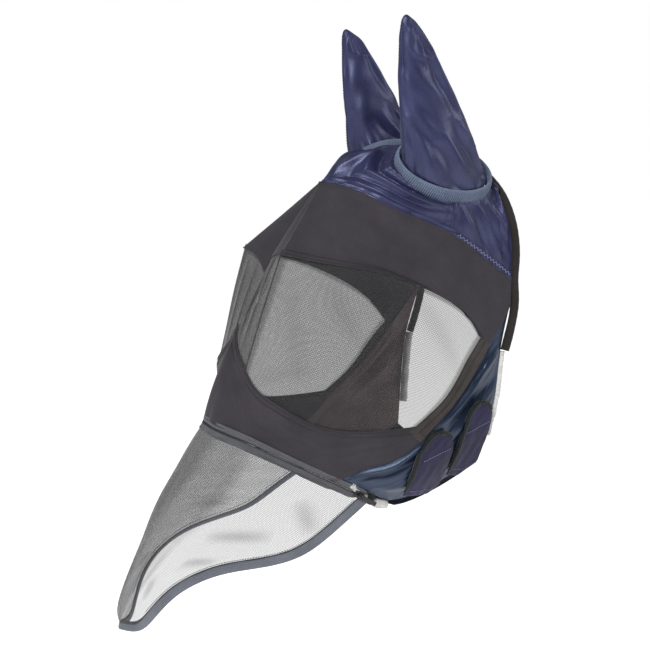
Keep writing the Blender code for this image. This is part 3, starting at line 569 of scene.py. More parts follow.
def tube(path, normal, halfWidth, halfHeight, sides, closed, relief):
    # an oval section carried along a path: cosine along the width, sine along the normal
    path = np.array(path, float)
    if closed:
        tangent = unit(np.roll(path, -1, axis=0) - np.roll(path, 1, axis=0))
    else:
        tangent = unit(np.gradient(path, axis=0))
    normal = np.broadcast_to(np.array(normal, float), path.shape)
    normal = unit(normal - tangent * np.sum(normal * tangent, axis=1, keepdims=True))
    aside = np.cross(tangent, normal)
    turn = np.linspace(0, 2 * math.pi, sides, endpoint=False)
    steps = np.linalg.norm(np.diff(path, axis=0), axis=1)
    reach = np.concatenate(([0], np.cumsum(steps)))[:, None]
    swell = relief(reach, turn[None, :])
    ring = (aside[:, None] * (np.cos(turn) * halfWidth * swell)[..., None]
            + normal[:, None] * (np.sin(turn) * halfHeight * swell)[..., None])
    grid = path[:, None] + ring
    if closed:
        grid = np.concatenate((grid, grid[:1]), axis=0)
    return grid, unit(np.concatenate((ring, ring[:1]), 0) if closed else ring)


def tubeMesh(name, path, normal, halfWidth, halfHeight, sides, closed=False, relief=None):
    # the tube as quads; open ends are closed by drawing in two small rings
    grid, outward = tube(path, normal, halfWidth, halfHeight, sides, closed, relief)
    if not closed:
        first, last = grid[:1].mean(1, keepdims=True), grid[-1:].mean(1, keepdims=True)
        grid = np.concatenate((first + (grid[:1] - first) * 0.02, first + (grid[:1] - first) * 0.6, grid,
                               last + (grid[-1:] - last) * 0.6, last + (grid[-1:] - last) * 0.02))
        outward = np.concatenate((outward[:1], outward[:1], outward, outward[-1:], outward[-1:]))
    mesh = gridMesh(name, grid, True, outward)
    return weldMesh(mesh) if closed else mesh


def weldMesh(mesh):
    # a ring's last section lies on its first, so the two are merged
    work = bmesh.new()
    work.from_mesh(mesh)
    bmesh.ops.remove_doubles(work, verts=work.verts, dist=0.01 * mm)
    work.to_mesh(mesh)
    work.free()
    return mesh


def stitches(lines, spacing=3.2 * mm, length=2.3 * mm, radius=0.32 * mm, lift=0.15 * mm, slant=0.0):
    # short bent threads along lines; each is a six-sided tube of five rings that dips at its ends
    ringAt = np.linspace(-0.5, 0.5, 5)
    turn = np.linspace(0, 2 * math.pi, 6, endpoint=False)
    thick = np.array((0.35, 0.9, 1.0, 0.9, 0.35)) * radius
    points, faces, start = [], [], 0
    quad = np.array([(i * 6 + j, i * 6 + (j + 1) % 6, (i + 1) * 6 + (j + 1) % 6, (i + 1) * 6 + j)
                     for i in range(4) for j in range(6)])
    for line, normal in lines:
        count = max(2, int(lineLength(line) / spacing))
        share = (np.arange(count) + 0.5) / count
        at, out = readLine(line, share), unit(readLine(normal, share))
        along = unit(readLine(line, share + 0.004) - readLine(line, share - 0.004))
        aside = np.cross(along, out)
        along = unit(along + aside * slant * np.where(np.arange(count) % 2, 1, -1)[:, None])
        aside = unit(np.cross(along, out))
        rise = (1 - (2 * ringAt) ** 2) * radius * 1.2 + lift - radius * 0.5
        centre = (at[:, None] + along[:, None] * (ringAt * length)[None, :, None]
                  + out[:, None] * rise[None, :, None])
        ring = (aside[:, None, None] * np.cos(turn)[None, None, :, None]
                + out[:, None, None] * np.sin(turn)[None, None, :, None]) * thick[None, :, None, None]
        block = (centre[:, :, None] + ring).reshape(-1, 3)
        points.append(block)
        faces.append((quad[None] + (start + np.arange(count) * 30)[:, None, None]).reshape(-1, 4))
        start += len(block)
    return np.concatenate(points), np.concatenate(faces)


def stitchPiece(name, lines, material, body, **settings):
    # rows of thread as one piece
    points, faces = stitches(lines, **settings)
    return addPiece(name, finishMesh(name, points, faces), material, body)


def clothPanel(name, panel, side, node, material, relief, columns, rows, inset, lift=0.0,
               wall=0.9 * mm, body="mask", lining=None, whole=False, densityWithFoldShade=None):
    # a panel's grid with its relief raised along the normals; whole ones take in both sides
    u, v = insetShares(panels[panel], columns, rows, inset)
    base = panelGrid(panels[panel], u, v, lift)
    if whole:
        base[:, 0, 0] = 0
        base = np.concatenate((onRight(base)[:, :0:-1], base), axis=1)
        u = np.concatenate((-u[:, :0:-1], u), axis=1)
        v = np.concatenate((v[:, :0:-1], v), axis=1)
    else:
        base = toSide(base, side)
    x, y = gridSizes(base)
    normals = gridNormals(base)
    height = relief(x, y, u, v, side)
    grid = base + normals * height[..., None]
    # for mesh cloth: its density, with painted shade on its folds and dents
    densityAndFoldShade = None if densityWithFoldShade is None else densityWithFoldShade(x, y, u, v, side, height)
    mesh = gridMesh(name, grid, False, normals, densityAndFoldShade)
    piece = addPiece(name, mesh, material, body, (node,), wall, lining)
    return piece


def sideSeed(seed, side):
    # the right side draws its own small folds
    return seed + (50 if side == "right" else 0)


def folds(u, v, size, rows):
    # ridges given as start share, end share, width and height, over a panel of a set size
    wide, deep = size
    total = np.zeros(np.broadcast(u, v).shape)
    for u0, v0, u1, v1, width, height in rows:
        start, end = (u0 * wide, v0 * deep), (u1 * wide, v1 * deep)
        total += ridge(u * wide, v * deep, start, end, width * mm, height * mm)
    return total


def edgeFade(u, v, size, reach=7 * mm, middle=True):
    # 0 at a panel's edges, 1 from a set distance in; a midline counts as no edge
    wide, deep = size
    across = np.minimum(np.abs(u), 1 - np.abs(u)) if middle else 1 - np.abs(u)
    near = np.minimum(across * wide, np.minimum(v, 1 - v) * deep)
    return smoothStep(near, 0, reach)


def edgeLine(panel, edge, distance, side, lift=0.0, span=(0, 1)):
    # a line that runs a set distance inside one of a panel's edges, and its normals
    p = panels[panel]
    other = {"top": "bottom", "bottom": "top", "front": "rear", "rear": "front"}[edge]
    share = np.repeat(np.linspace(*span, 240)[None], 3, axis=0)
    into = (distance + np.array((-1, 0, 1))[:, None] * mm) / squareReach(p[edge], p[other], share)
    if edge in ("bottom", "rear"):
        into = 1 - into
    u, v = (share, into) if edge in ("top", "bottom") else (into, share)
    grid = toSide(panelGrid(p, u, v, lift), side)
    return grid[1], gridNormals(grid)[1]


# black, mesh and satin panels

brow = {"size": (0.24, 0.08),
        "folds": [(0.10, 0.25, 0.45, 0.60, 9, 2.2), (0.30, 0.10, 0.72, 0.42, 11, 2.6),
                  (0.22, 0.78, 0.62, 0.70, 9, 1.8), (0.55, 0.15, 0.95, 0.70, 10, -2.0),
                  (0.62, 0.85, 0.97, 0.55, 8, 1.8), (0.05, 0.60, 0.28, 0.90, 7, 1.4)]}
nose = {"size": (0.22, 0.11),
        "folds": [(0.35, 0.30, 0.80, 0.35, 8, 1.2), (0.20, 0.55, 0.55, 0.60, 8, -1.0),
                  (0.60, 0.60, 0.95, 0.55, 7, 1.1), (0.10, 0.20, 0.22, 0.80, 7, 0.9)]}
eye = {"size": (0.12, 0.15),
       "folds": [(0.05, 0.15, 0.30, 0.85, 6, 1.2), (0.55, 0.02, 0.98, 0.40, 8, 1.4),
                 (0.35, 0.90, 0.80, 0.70, 9, -1.2)]}
face = {"size": (0.05, 0.075),
        "folds": [(0.35, 0.05, 0.30, 0.98, 3.5, 2.2), (0.70, 0.02, 0.62, 0.95, 3.0, 1.8),
                  (0.00, 0.10, 0.00, 0.90, 4.0, -1.2), (-0.40, 0.05, -0.32, 0.95, 3.2, 1.7),
                  (-0.72, 0.05, -0.65, 0.98, 3.0, 1.5), (0.90, 0.20, 0.55, 0.55, 2.5, -1.3)]}
jaw = {"size": (0.17, 0.11),
       "folds": [(-0.02, 0.16, 0.46, 0.12, 6, 4.0), (0.04, 0.34, 0.44, 0.30, 6, -3.4),
                 (0.12, 0.66, 0.40, 0.62, 9, 2.0), (0.42, 0.10, 0.98, 0.26, 6, 4.0),
                 (0.50, 0.28, 1.02, 0.46, 5, -3.6), (0.56, 0.40, 1.00, 0.66, 6, 3.4),
                 (0.45, 0.02, 0.85, 0.08, 4, -1.8), (0.70, 0.62, 1.02, 0.86, 5, -2.6)]}


def blackRelief(look, seed, middle=True):
    # soft folds and a faint crumple that end before the edges, and a raised hem round them
    def relief(x, y, u, v, side):
        fade = edgeFade(u, v, look["size"], 9 * mm, middle)
        turned = sideSeed(seed, side)
        height = (folds(u, v, look["size"], look["folds"])
                  + crumple(x, y, 45 * mm, 0.5 * mm, turned))
        hem = 0.5 * mm * (1 - smoothStep(edgeFade(u, v, look["size"], 14 * mm, middle), 0.3, 0.75))
        return height * fade + hem
    return relief


def meshRelief(look, seed, middle=True):
    # taut mesh: shallow folds that fade at the seams
    def relief(x, y, u, v, side):
        fade = edgeFade(u, v, look["size"], 10 * mm, middle)
        turned = sideSeed(seed, side)
        return (folds(u, v, look["size"], look["folds"])
                + crumple(x, y, 60 * mm, 0.35 * mm, turned)) * fade
    return relief


def meshDensityAndFoldShade(look, base, creased, middle=True):
    # how closed the mesh looks: a set density, painted shade on the folds and dents, and more at hems and
    # over the middle of the front
    def densityWithFoldShade(x, y, u, v, side, height):
        hem = 1 - smoothStep(edgeFade(u, v, look["size"], 6 * mm, middle), 0.2, 0.9)
        smooth = np.abs(folds(u, v, look["size"], look["folds"]))
        front = look.get("front", 0) * (1 - smoothStep(np.abs(u), 0.22, 0.34))
        return base + creased * np.clip(smooth / (2.2 * mm), 0, 1) + 0.22 * hem + front
    return densityWithFoldShade


def noseFoot(u):
    # the nose panel stops under the zip's tape, and beyond that it covers the jaw panel's seam
    zipShare = lineLength(smoothLine(seam["zipFace"])) / lineLength(panels["nose"]["bottom"])
    return np.interp(u, (zipShare - 0.02, zipShare + 0.03), (4 * mm, -2 * mm))


def satinRelief(look, seed, size, height, stretch):
    # large folds with small sharp creases between them
    def relief(x, y, u, v, side):
        fade = edgeFade(u, v, look["size"], 8 * mm)
        turned = sideSeed(seed, side)
        small = creases(x, y, size * mm, height * mm, turned, stretch)
        return (folds(u, v, look["size"], look["folds"]) + small) * fade
    return relief


for side in sides:
    # the right jaw panel laps over the closing flap that runs on from it
    jawFoot = -5 * mm if side == "right" else 0
    clothPanel(f"eyeMesh_{side}", "eye", side, f"eye_mesh_{side}", "flyMesh", meshRelief(eye, 11),
               110, 110,
               (-3 * mm, -3 * mm, -1 * mm, -3 * mm), wall=0.4 * mm,
               densityWithFoldShade=meshDensityAndFoldShade(eye, 0.03, 0.08))
    clothPanel(f"browPanel_{side}", "brow", side, f"brow_panel_{side}", "softShell",
               blackRelief(brow, 3), 170, 80,
               (0, -3 * mm, 0, 0), lift=0.8 * mm)
    clothPanel(f"jawPanel_{side}", "jaw", side, f"jaw_panel_{side}", "jawLycra",
               satinRelief(jaw, 7, 26, 0.5, 3.0), 150, 100,
               (-6 * mm, jawFoot, -2 * mm, 0), lining="jawLining")
clothPanel("faceMesh", "face", "left", "face_mesh", "flyMesh", meshRelief(face, 21, False), 56, 90,
           (0, 0, 0, 0), wall=0.4 * mm, whole=True,
           densityWithFoldShade=meshDensityAndFoldShade(face, 0.30, 0.30, False))
clothPanel("foreheadPanel", "kite", "left", "forehead_panel", "softShell",
           lambda x, y, u, v, side: 0.6 * mm * np.sin(math.pi * v) * np.cos(u * math.pi / 2), 50, 60,
           (1 * mm, -2 * mm, 0, 0), lift=0.9 * mm, whole=True)
clothPanel("nosePanel", "nose", "left", "nose_panel", "softShell",
           blackRelief(nose, 5, False), 110, 70,
           (-3 * mm, noseFoot, 0, -2 * mm), lift=0.8 * mm, whole=True)


# cheek strips: webbing sewn over the seam between mesh and jaw

strip = {"ribs": 3, "ribHeight": 0.25 * mm, "overlap": 1.5 * mm, "lift": 1.5 * mm, "wall": 1.2 * mm}


def stripRelief(x, y, u, v, side):
    # woven ribs along the strip, and a slow waver
    ribs = np.cos(u * strip["ribs"] * 2 * math.pi) * strip["ribHeight"]
    return ribs + 0.3 * mm * np.sin(v * 17) * np.sin(v * 5 + 1)


for side in sides:
    clothPanel(f"cheekStrip_{side}", "strip", side, f"cheek_strip_{side}", "stripWebbing",
               stripRelief, 48, 170,
               (-2 * mm, -5 * mm, -strip["overlap"], -strip["overlap"]), strip["lift"], strip["wall"])


# closing flap, from the right jaw's lower edge to the tabs' roots

flap = {"span": (0.24, 0.98), "drop": 6.2 * mm, "sag": 10 * mm, "rightDrop": 2.2 * mm}
left = readLine(panels["jaw"]["bottom"], np.linspace(*flap["span"], 90))
right = onRight(left) + (2 * mm, 0, -flap["rightDrop"])
left = left + (-1 * mm, 0, -flap["drop"])
share = np.linspace(0, 1, 120)[:, None, None]
flapGrid = right + (left - right) * share
flapGrid[..., 2] -= flap["sag"] * np.sin(math.pi * share[..., 0])
flapNormals = gridNormals(flapGrid)
x, y = gridSizes(flapGrid)
wave = creases(x, y, 26 * mm, 1.4 * mm, 31, 0.5) * np.sin(math.pi * share[..., 0])
flapMesh = gridMesh("closingFlap", flapGrid + flapNormals * wave[..., None], False, flapNormals)
piece = addPiece("closingFlap", flapMesh, "jawLycra", "mask", ("closing_flap",), 0.9 * mm,
                 "jawLycra")
print("panels made")


# crown: gathered round the ear openings, with a stitched hem over the brow

ear = {"centre": np.array((0.052, 0.004, -0.0145)), "back": np.array((0.004, 0.0545, -0.005)),
       "out": np.array((0.028, -0.002, -0.027)), "rootShare": (0.90, 0.88), "rootLift": 3 * mm,
       "bandWidth": 15 * mm, "bandRise": 0.6 * mm, "bandRib": 2.3 * mm, "blendHeight": 38 * mm,
       "sections": [((0.0570, -0.005, 0.012), 0.0455, 0.0228), ((0.0565, -0.0132, 0.037), 0.0395, 0.0195),
                    ((0.0572, -0.0235, 0.067), 0.032, 0.017), ((0.0584, -0.0321, 0.092), 0.025, 0.013),
                    ((0.0598, -0.0438, 0.124), 0.013, 0.008), ((0.0616, -0.0507, 0.137), 0.004, 0.0035),
                    ((0.0617, -0.0514, 0.1392), 0.0008, 0.0007)]}
crown = {"rim": 0.92, "swell": 3.5 * mm, "hemWidth": 11 * mm, "hemLift": 1.1 * mm,
         "frontFolds": [(0.30, 0.30, 0.99, 0.24, 5, -4.6), (0.28, 0.46, 0.99, 0.40, 6, 4.0),
                        (0.40, 0.66, 0.92, 0.58, 5, -2.2), (0.46, 0.82, 0.92, 0.76, 5, 1.6),
                        (0.30, 0.14, 0.99, 0.10, 3, 1.6), (0.30, 0.40, 0.44, 0.96, 7, 4.6),
                        (0.22, 0.30, 0.34, 0.95, 6, -3.4), (0.10, 0.30, 0.24, 0.85, 6, 3.0),
                        (0.04, 0.65, 0.30, 0.75, 6, -1.8)],
         "rearFolds": [(0.10, 0.16, 0.20, 0.94, 4, -4.2), (0.16, 0.10, 0.27, 0.90, 4, 3.6),
                       (0.22, 0.12, 0.34, 0.88, 4, -4.2), (0.28, 0.12, 0.42, 0.85, 4, 3.6),
                       (0.36, 0.12, 0.52, 0.80, 4, -3.8), (0.44, 0.14, 0.60, 0.80, 4.5, 3.2),
                       (0.04, 0.20, 0.10, 0.90, 4, 1.8), (0.60, 0.20, 0.85, 0.60, 6, 2.4)],
         "size": (0.20, 0.09)}


def crownHalf(turnFrom, turnTo, edge, rows=80):
    # straight lines from the ear opening's oval out to the panel's edge, swollen by half a sine
    turn = np.radians(np.linspace(turnFrom, turnTo, len(edge)))[:, None]
    rim = ear["centre"] + crown["rim"] * (np.cos(turn) * ear["back"] + np.sin(turn) * ear["out"])
    share = np.linspace(0, 1, rows)[:, None, None]
    grid = rim + (edge - rim) * share
    return grid + gridNormals(grid) * crown["swell"] * np.sin(math.pi * share)


def crownRelief(grid, foldRows, seed, side):
    # set folds, a soft crumple, and gathers that die away from the ear opening
    rows, columns = grid.shape[:2]
    u, v = np.linspace(0, 1, columns)[None], np.linspace(0, 1, rows)[:, None]
    x, y = gridSizes(grid)
    turned = sideSeed(seed, side)
    draw = np.random.default_rng(turned)
    pucker = sum(np.sin(u * n * 2 * math.pi + draw.uniform(0, 6)) for n in (7, 11, 17, 23)) / 4
    gathers = pucker * 0.6 * mm * np.exp(-((v - 0.12) / 0.16) ** 2)
    small = crumple(x, y, 24 * mm, 0.7 * mm, turned, 2.0)
    fade = smoothStep(v, 0, 0.10) * smoothStep(1 - v, 0, 0.12) * smoothStep(np.minimum(u, 1 - u), 0, 0.03)
    return (folds(u, v, crown["size"], foldRows) + small + gathers) * fade


frontEdge = np.concatenate((smoothLine(seam["middleCrown"], 80), smoothLine(seam["hemFront"], 81)[1:]))
rearEdge = np.concatenate((smoothLine(seam["hemBack"], 57), smoothLine(seam["crownRear"], 85)[1:],
                           smoothLine(seam["middlePoll"], 38)[1:]))
crownParts = {"Front": (270, 90, frontEdge, crown["frontFolds"], 41),
              "Rear": (90, -90, rearEdge, crown["rearFolds"], 43)}
crownGrids = {}
for part, (turnFrom, turnTo, edge, foldRows, seed) in crownParts.items():
    for side in sides:
        base = toSide(crownHalf(turnFrom, turnTo, edge), side)
        normals = gridNormals(base)
        grid = base + normals * crownRelief(base, foldRows, seed, side)[..., None]
        crownGrids[part, side] = grid
        node = f"crown_{part.lower()}_{side}"
        piece = addPiece(f"crown{part}_{side}", gridMesh(f"crown{part}_{side}", grid, False, normals),
                         "satinLycra", "mask", (node,), 0.9 * mm)


def hemStrip(side, near, far, rows, lift):
    # the hem: a folded flange of the crown laid over the brow panel's top edge
    edge = np.concatenate((frontEdge[79:], rearEdge[1:57]))
    turn = np.radians(np.linspace(180, 90 - 56 * 180 / (len(rearEdge) - 1), len(edge)))[:, None]
    rim = ear["centre"] + np.cos(turn) * ear["back"] + np.sin(turn) * ear["out"]
    towards = unit(rim - edge)
    reach = np.linspace(near, far, rows)[:, None, None]
    grid = evenColumns(edge + towards * reach, 200)
    grid = toSide(grid, side)
    return grid + gridNormals(grid) * lift


def evenColumns(grid, count):
    return np.stack([evenly(row, count) for row in grid])


for side in sides:
    hem = hemStrip(side, -3 * mm, crown["hemWidth"] - 3 * mm, 14, crown["hemLift"])
    hemNormals = gridNormals(hem)
    x, y = gridSizes(hem)
    across = np.linspace(0, 1, 14)[:, None]
    roll = (0.55 * mm * (np.cos(across * 2 * math.pi * 2) * -0.5 + 0.5)
            + crumple(x, y, 20 * mm, 0.35 * mm, 47) + 0.25 * mm * np.sin(x / (3.1 * mm)))
    hem = hem + hemNormals * roll[..., None]
    piece = addPiece(f"crownHem_{side}", gridMesh(f"crownHem_{side}", hem, False, hemNormals), "satinLycra",
                     "mask", (), 1.3 * mm)
print("crown made")


# ear covers: outer and inner halves with bound edge seams, and the elastic band

earLook = {"rootGathers": 1.2 * mm, "size": (0.085, 0.16), "pinch": (0.46, 0.84, 0.26, 0.085, 1.5),
           "folds": [(0.44, 1.02, 0.34, 0.40, 5.5, -3.6), (0.34, 0.95, 0.20, 0.30, 5.0, 2.4),
                     (0.40, 0.42, 0.12, -0.02, 4.2, -6.0), (0.30, 0.36, 0.04, 0.02, 3.2, 3.6),
                     (0.52, 0.34, 0.34, -0.02, 3.6, 2.8), (0.60, 0.28, 0.46, -0.02, 4.0, -3.0),
                     (0.18, 0.22, 0.00, 0.05, 3.5, -3.0), (0.86, 0.36, 0.84, 0.02, 6.0, -2.6),
                     (0.74, 0.30, 0.68, 0.00, 4.5, 2.4), (0.92, 0.95, 0.90, 0.35, 6.0, -1.8)]}


def earRings():
    # the ear's oval sections from root to tip: centre, half length and half width
    lift = unit(np.cross(ear["back"], ear["out"])) * -ear["rootLift"]
    rings = [(ear["centre"] + lift, ear["back"] * ear["rootShare"][0], ear["out"] * ear["rootShare"][1])]
    for centre, length, width in ear["sections"]:
        tilt = max(0, 0.037 - centre[2]) * 0.4
        rings.append((np.array(centre), np.array((0, length, -tilt * 0.3)),
                      np.array((width, 0, -tilt - width * 0.15))))
    return rings


def earHalf(turnFrom, turnTo, side, columns=80, rows=110):
    # one half of every section, joined root to tip by splines
    turn = np.radians(np.linspace(turnFrom, turnTo, columns))[:, None]
    rings = np.array([c + np.cos(turn) * a + np.sin(turn) * b for c, a, b in earRings()])
    grid = np.stack([smoothLine(rings[:, i], rows) for i in range(columns)], axis=1)
    return toSide(grid, side)


def earRelief(grid, half, side):
    # set folds, gathers at the root, and an oval of creases near the tip
    rows, columns = grid.shape[:2]
    u, v = np.linspace(0, 1, columns)[None], np.linspace(0, 1, rows)[:, None]
    seed = sideSeed(63 if half == "inner" else 61, side)
    draw = np.random.default_rng(seed)
    pucker = sum(np.sin(u * n * 2 * math.pi + draw.uniform(0, 6)) for n in (5, 8, 13)) / 3
    gathers = pucker * earLook["rootGathers"] * np.exp(-(v / 0.10) ** 2) * smoothStep(v, 0.02, 0.06)
    placeU, placeV, wide, tall, deep = earLook["pinch"]
    oval = np.sqrt(((u - placeU) / wide) ** 2 + ((v - placeV) / tall) ** 2)
    x, y = gridSizes(grid)
    stripes = np.cos((u - placeU) / wide * 9 + (v - placeV) / tall * 1.5)
    inside = stripes * 0.45 * (1 - smoothStep(oval, 0.5, 1.0))
    crush = (np.exp(-((oval - 1) / 0.22) ** 2) * 0.7 + inside) * deep * mm
    soft = crumple(x, y, 45 * mm, 0.7 * mm, seed + 9, 0.6)
    ends = smoothStep(1 - v, 0.02, 0.08) * smoothStep(v, 0.0, 0.03)
    fade = smoothStep(np.minimum(u, 1 - u), 0, 0.08) * ends
    rows = earLook["folds"]
    if half == "inner":
        rows = [(1 - a, b, 1 - c, d, width, height * 0.6) for a, b, c, d, width, height in rows]
    return (folds(u, v, earLook["size"], rows) + gathers + crush + soft) * fade


def earBlend(piece, side, nodes=()):
    # bakes the piece's placement into its points and hides the given parts; the root and tip points are
    # worked out but not used
    root = toSide(ear["centre"] + np.array((0, 0, 6 * mm)), side)
    top = toSide(ear["centre"] + np.array((0.004, -0.008, ear["blendHeight"])), side)
    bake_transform(piece)
    if nodes:
        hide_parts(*nodes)


for side in sides:
    axis = toSide(np.array((0.057, -0.02, 0.05)), side)
    seams = []
    for half, turnFrom, turnTo in (("outer", 0, 180), ("inner", 180, 360)):
        base = earHalf(turnFrom, turnTo, side)
        normals = gridNormals(base, axis)
        grid = base + normals * earRelief(base, half, side)[..., None]
        name = f"earCover_{half}_{side}"
        piece = addPiece(name, gridMesh(name, grid, False, normals), "satinLycra", None, (), 0.8 * mm)
        earBlend(piece, side, (f"ear_{half}_{side}",))
        if half == "outer":
            seams = [(grid[4:-6, 0], normals[4:-6, 0]), (grid[4:-6, -1], normals[4:-6, -1])]
            cover = grid, normals
    for place, (line, normal) in zip(("rear", "front"), seams):
        name = f"earSeam_{place}_{side}"
        mesh = tubeMesh(name, evenly(line, 160), normal[80], 0.8 * mm, 0.8 * mm, 10,
                        relief=lambda reach, turn: 1 + 0.18 * np.sin(reach / (0.5 * mm)))
        piece = addPiece(name, mesh, "navyThread", None)
        earBlend(piece, side)
    outer, outward = cover
    rows = [(evenly(outer[6:-10, c], 200), evenly(outward[6:-10, c], 200)) for c in (3, -4)]
    piece = stitchPiece(f"earStitching_{side}", rows, "navyThread", None, spacing=3.0 * mm, length=2.0 * mm,
                        radius=0.25 * mm, lift=0.1 * mm)
    earBlend(piece, side)

    turn = np.linspace(0, 2 * math.pi, 680, endpoint=False)[:, None]
    rim = np.cos(turn) * ear["back"] + np.sin(turn) * ear["out"]
    ringNormal = -unit(np.cross(ear["back"], ear["out"]))
    radial = unit(rim * (1, 1, 0.25))
    path = ear["centre"] + rim * 0.985 + np.array((0, 0, ear["bandRise"]))
    path, radial = toSide(path, side), radial * ((1, 1, 1) if side == "left" else (-1, 1, 1))
    mesh = tubeMesh(f"earBand_{side}", path, radial, ear["bandWidth"] / 2, 1.9 * mm, 18, True,
                    lambda reach, turn: 1 + 0.4 * np.sin(turn) ** 2 * np.sin(
                        reach / ear["bandRib"] * 2 * math.pi + 3.0 * np.cos(turn)))
    addPiece(f"earBand_{side}", mesh, "ribbedElastic", "mask", (f"ear_band_{side}",))
print("ears made")


# bindings, piping and fleece rims

rims = {"bindingFoot": [(0.094, 0.0600, -0.205), (0.0915, 0.0730, -0.157)],
        "bindingStep": (0, 0.0042, 0.0003), "bindingRadius": 4.7 * mm, "pipingRadius": 0.9 * mm,
        "fleeceRadius": 4.4 * mm, "fleeceDepth": 4.8 * mm,
        "fleeceFront": [(0.0590, -0.112, -0.3375), (0.0595, -0.098, -0.3520), (0.0610, -0.083, -0.3630),
                        (0.0625, -0.070, -0.3665)]}
left = smoothLine(rims["bindingFoot"] + [tuple(np.add(p, rims["bindingStep"])) for p in seam["crownRear"]])
bindingPath = evenly(np.concatenate((left, onRight(left)[-2::-1])), 420)


def bindingLumps(reach, turn):
    # slow swelling along the roll, with a slight flat and fine puckers
    soft = np.sin(reach / (9 * mm)) * np.sin(reach / (23 * mm) + 1)
    return 1 + 0.035 * soft + 0.05 * np.cos(turn * 2 + 0.6) + 0.02 * np.sin(reach / (1.3 * mm)) * np.cos(turn)


mesh = tubeMesh("rearBinding", bindingPath, (0, 1, 0.2), rims["bindingRadius"],
                rims["bindingRadius"] * 0.95, 24, relief=bindingLumps)
piece = addPiece("rearBinding", mesh, "paddedBinding", "mask", ("rear_binding",))


def pile(seed):
    # a fleecy rim: short random tufts on a crumpled roll
    def relief(reach, turn):
        draw = np.random.default_rng(seed)
        tufts = draw.normal(0, 0.09, np.broadcast(reach, turn).shape)
        return 1 + tufts + 0.08 * np.sin(reach / (4 * mm)) * np.cos(2 * turn)
    return relief


jawRearLine = panelGrid(panels["jaw"], np.broadcast_to((0.98, 1.0), (60, 2)),
                        np.repeat(np.linspace(0.3, 0.86, 60)[:, None], 2, axis=1), -rims["fleeceDepth"])[:, 1]
for side in sides:
    kiteLine = toSide(smoothLine(seam["kiteEdge"])[5:118], side)
    mesh = tubeMesh(f"foreheadPiping_{side}", evenly(kiteLine, 120), toSide(np.array((0.3, -0.8, 0.5)), side),
                    rims["pipingRadius"], rims["pipingRadius"], 12,
                    relief=lambda reach, turn: 1 + 0.05 * np.sin(reach / (0.6 * mm) + turn))
    addPiece(f"foreheadPiping_{side}", mesh, "piping", "mask", (f"forehead_piping_{side}",))
    fronts, rears = smoothLine(rims["fleeceFront"]) + (3 * mm, 0, 0), jawRearLine + (1 * mm, 4 * mm, 0)
    for place, line, seed in (("front", fronts, 71), ("rear", rears, 73)):
        name = f"fleeceRim_{place}_{side}"
        mesh = tubeMesh(name, evenly(toSide(line, side), 150), (0, 0, 1), rims["fleeceRadius"],
                        rims["fleeceRadius"], 22, relief=pile(seed))
        piece = addPiece(name, mesh, "fleece", "mask", (f"fleece_{place}_{side}",))
print("rims made")


# zip: tapes, coils and the metal work's finish

zipLook = {"tapeStart": 1.6 * mm, "tapeEnd": 7.5 * mm, "coilPlace": 1.1 * mm, "coilRadius": 0.95 * mm,
           "coilPitch": 1.3 * mm, "endGap": 3 * mm, "ridges": 3}


def coilTurns(reach, turn):
    return 1 + 0.22 * np.sin(reach / zipLook["coilPitch"] * 2 * math.pi + turn)


for level, panel, sign, body in (("upper", "aboveZip", -1, "mask"), ("lower", "cover", 1, "nose_cover_body")):
    u, v = insetShares(panels[panel], 170, 14, (0, 0, 0, zipLook["endGap"]),
                       (sign * zipLook["tapeStart"], sign * zipLook["tapeEnd"]))
    base = panelGrid(panels[panel], u, v, 1.1 * mm)
    base[:, 0, 0] = 0
    base = np.concatenate((onRight(base)[:, :0:-1], base), axis=1)
    normals = gridNormals(base)
    across = np.linspace(0, 1, 14)[:, None]
    ridged = 0.35 * mm * np.cos(across * zipLook["ridges"] * 2 * math.pi) * np.sin(math.pi * across)
    mesh = gridMesh(f"zipTape_{level}", base + normals * ridged[..., None], False, normals)
    addPiece(f"zipTape_{level}", mesh, "zipTape", body, (f"zip_tape_{level}",), 0.9 * mm)
    u, v = insetShares(panels[panel], 170, 2, (0, 0, 0, zipLook["endGap"]),
                       (sign * zipLook["coilPlace"], sign * zipLook["tapeEnd"]))
    coil = panelGrid(panels[panel], u, v, 0.4 * mm)[0]
    coil[0, 0] = 0
    coil = evenly(np.concatenate((onRight(coil)[:0:-1], coil)), 1700)
    mesh = tubeMesh(f"zipCoil_{level}", coil, (0, -0.6, -0.2), zipLook["coilRadius"],
                    zipLook["coilRadius"], 8, relief=coilTurns)
    addPiece(f"zipCoil_{level}", mesh, "nylonCoil", body, (f"zip_coil_{level}",))
keptFinish = {"zip_slider": "darkEnamel", "zip_pull": "darkEnamel", "zip_end_stop_left": "tabEdging",
              "zip_end_stop_right": "tabEdging"}
for node, material in keptFinish.items():
    kept = bpy.data.objects[node]
    kept.data.materials.clear()
    kept.data.materials.append(finish[material])
print("zip made")


# nose cover: fine mesh with soft folds and dents, and its ribbed binding

cover = {"size": (0.15, 0.22), "front": 0.16,
         "folds": [(0.30, 0.00, 0.34, 0.55, 7, 2.6), (0.34, 0.50, 0.40, 1.02, 6, 2.0),
                   (-0.30, 0.00, -0.34, 0.55, 7, 2.4), (-0.34, 0.50, -0.40, 1.02, 6, 1.8),
                   (0.50, 0.45, 0.80, 0.30, 8, -2.2), (0.62, 0.62, 0.86, 0.55, 7, -2.0),
                   (0.72, 0.12, 0.95, 0.22, 7, -1.8), (0.45, 0.72, 0.62, 0.82, 6, -1.8),
                   (-0.55, 0.40, -0.85, 0.30, 8, -2.0), (-0.50, 0.75, -0.70, 0.70, 6, -1.6),
                   (0.00, 0.10, 0.05, 0.80, 9, -1.6)],
         "tipInset": 3 * mm, "bindingWidth": 10 * mm, "bindingHeight": 1.5 * mm, "tipGoal": 0.73,
         "tipInward": (0, 0.25, 0.97)}
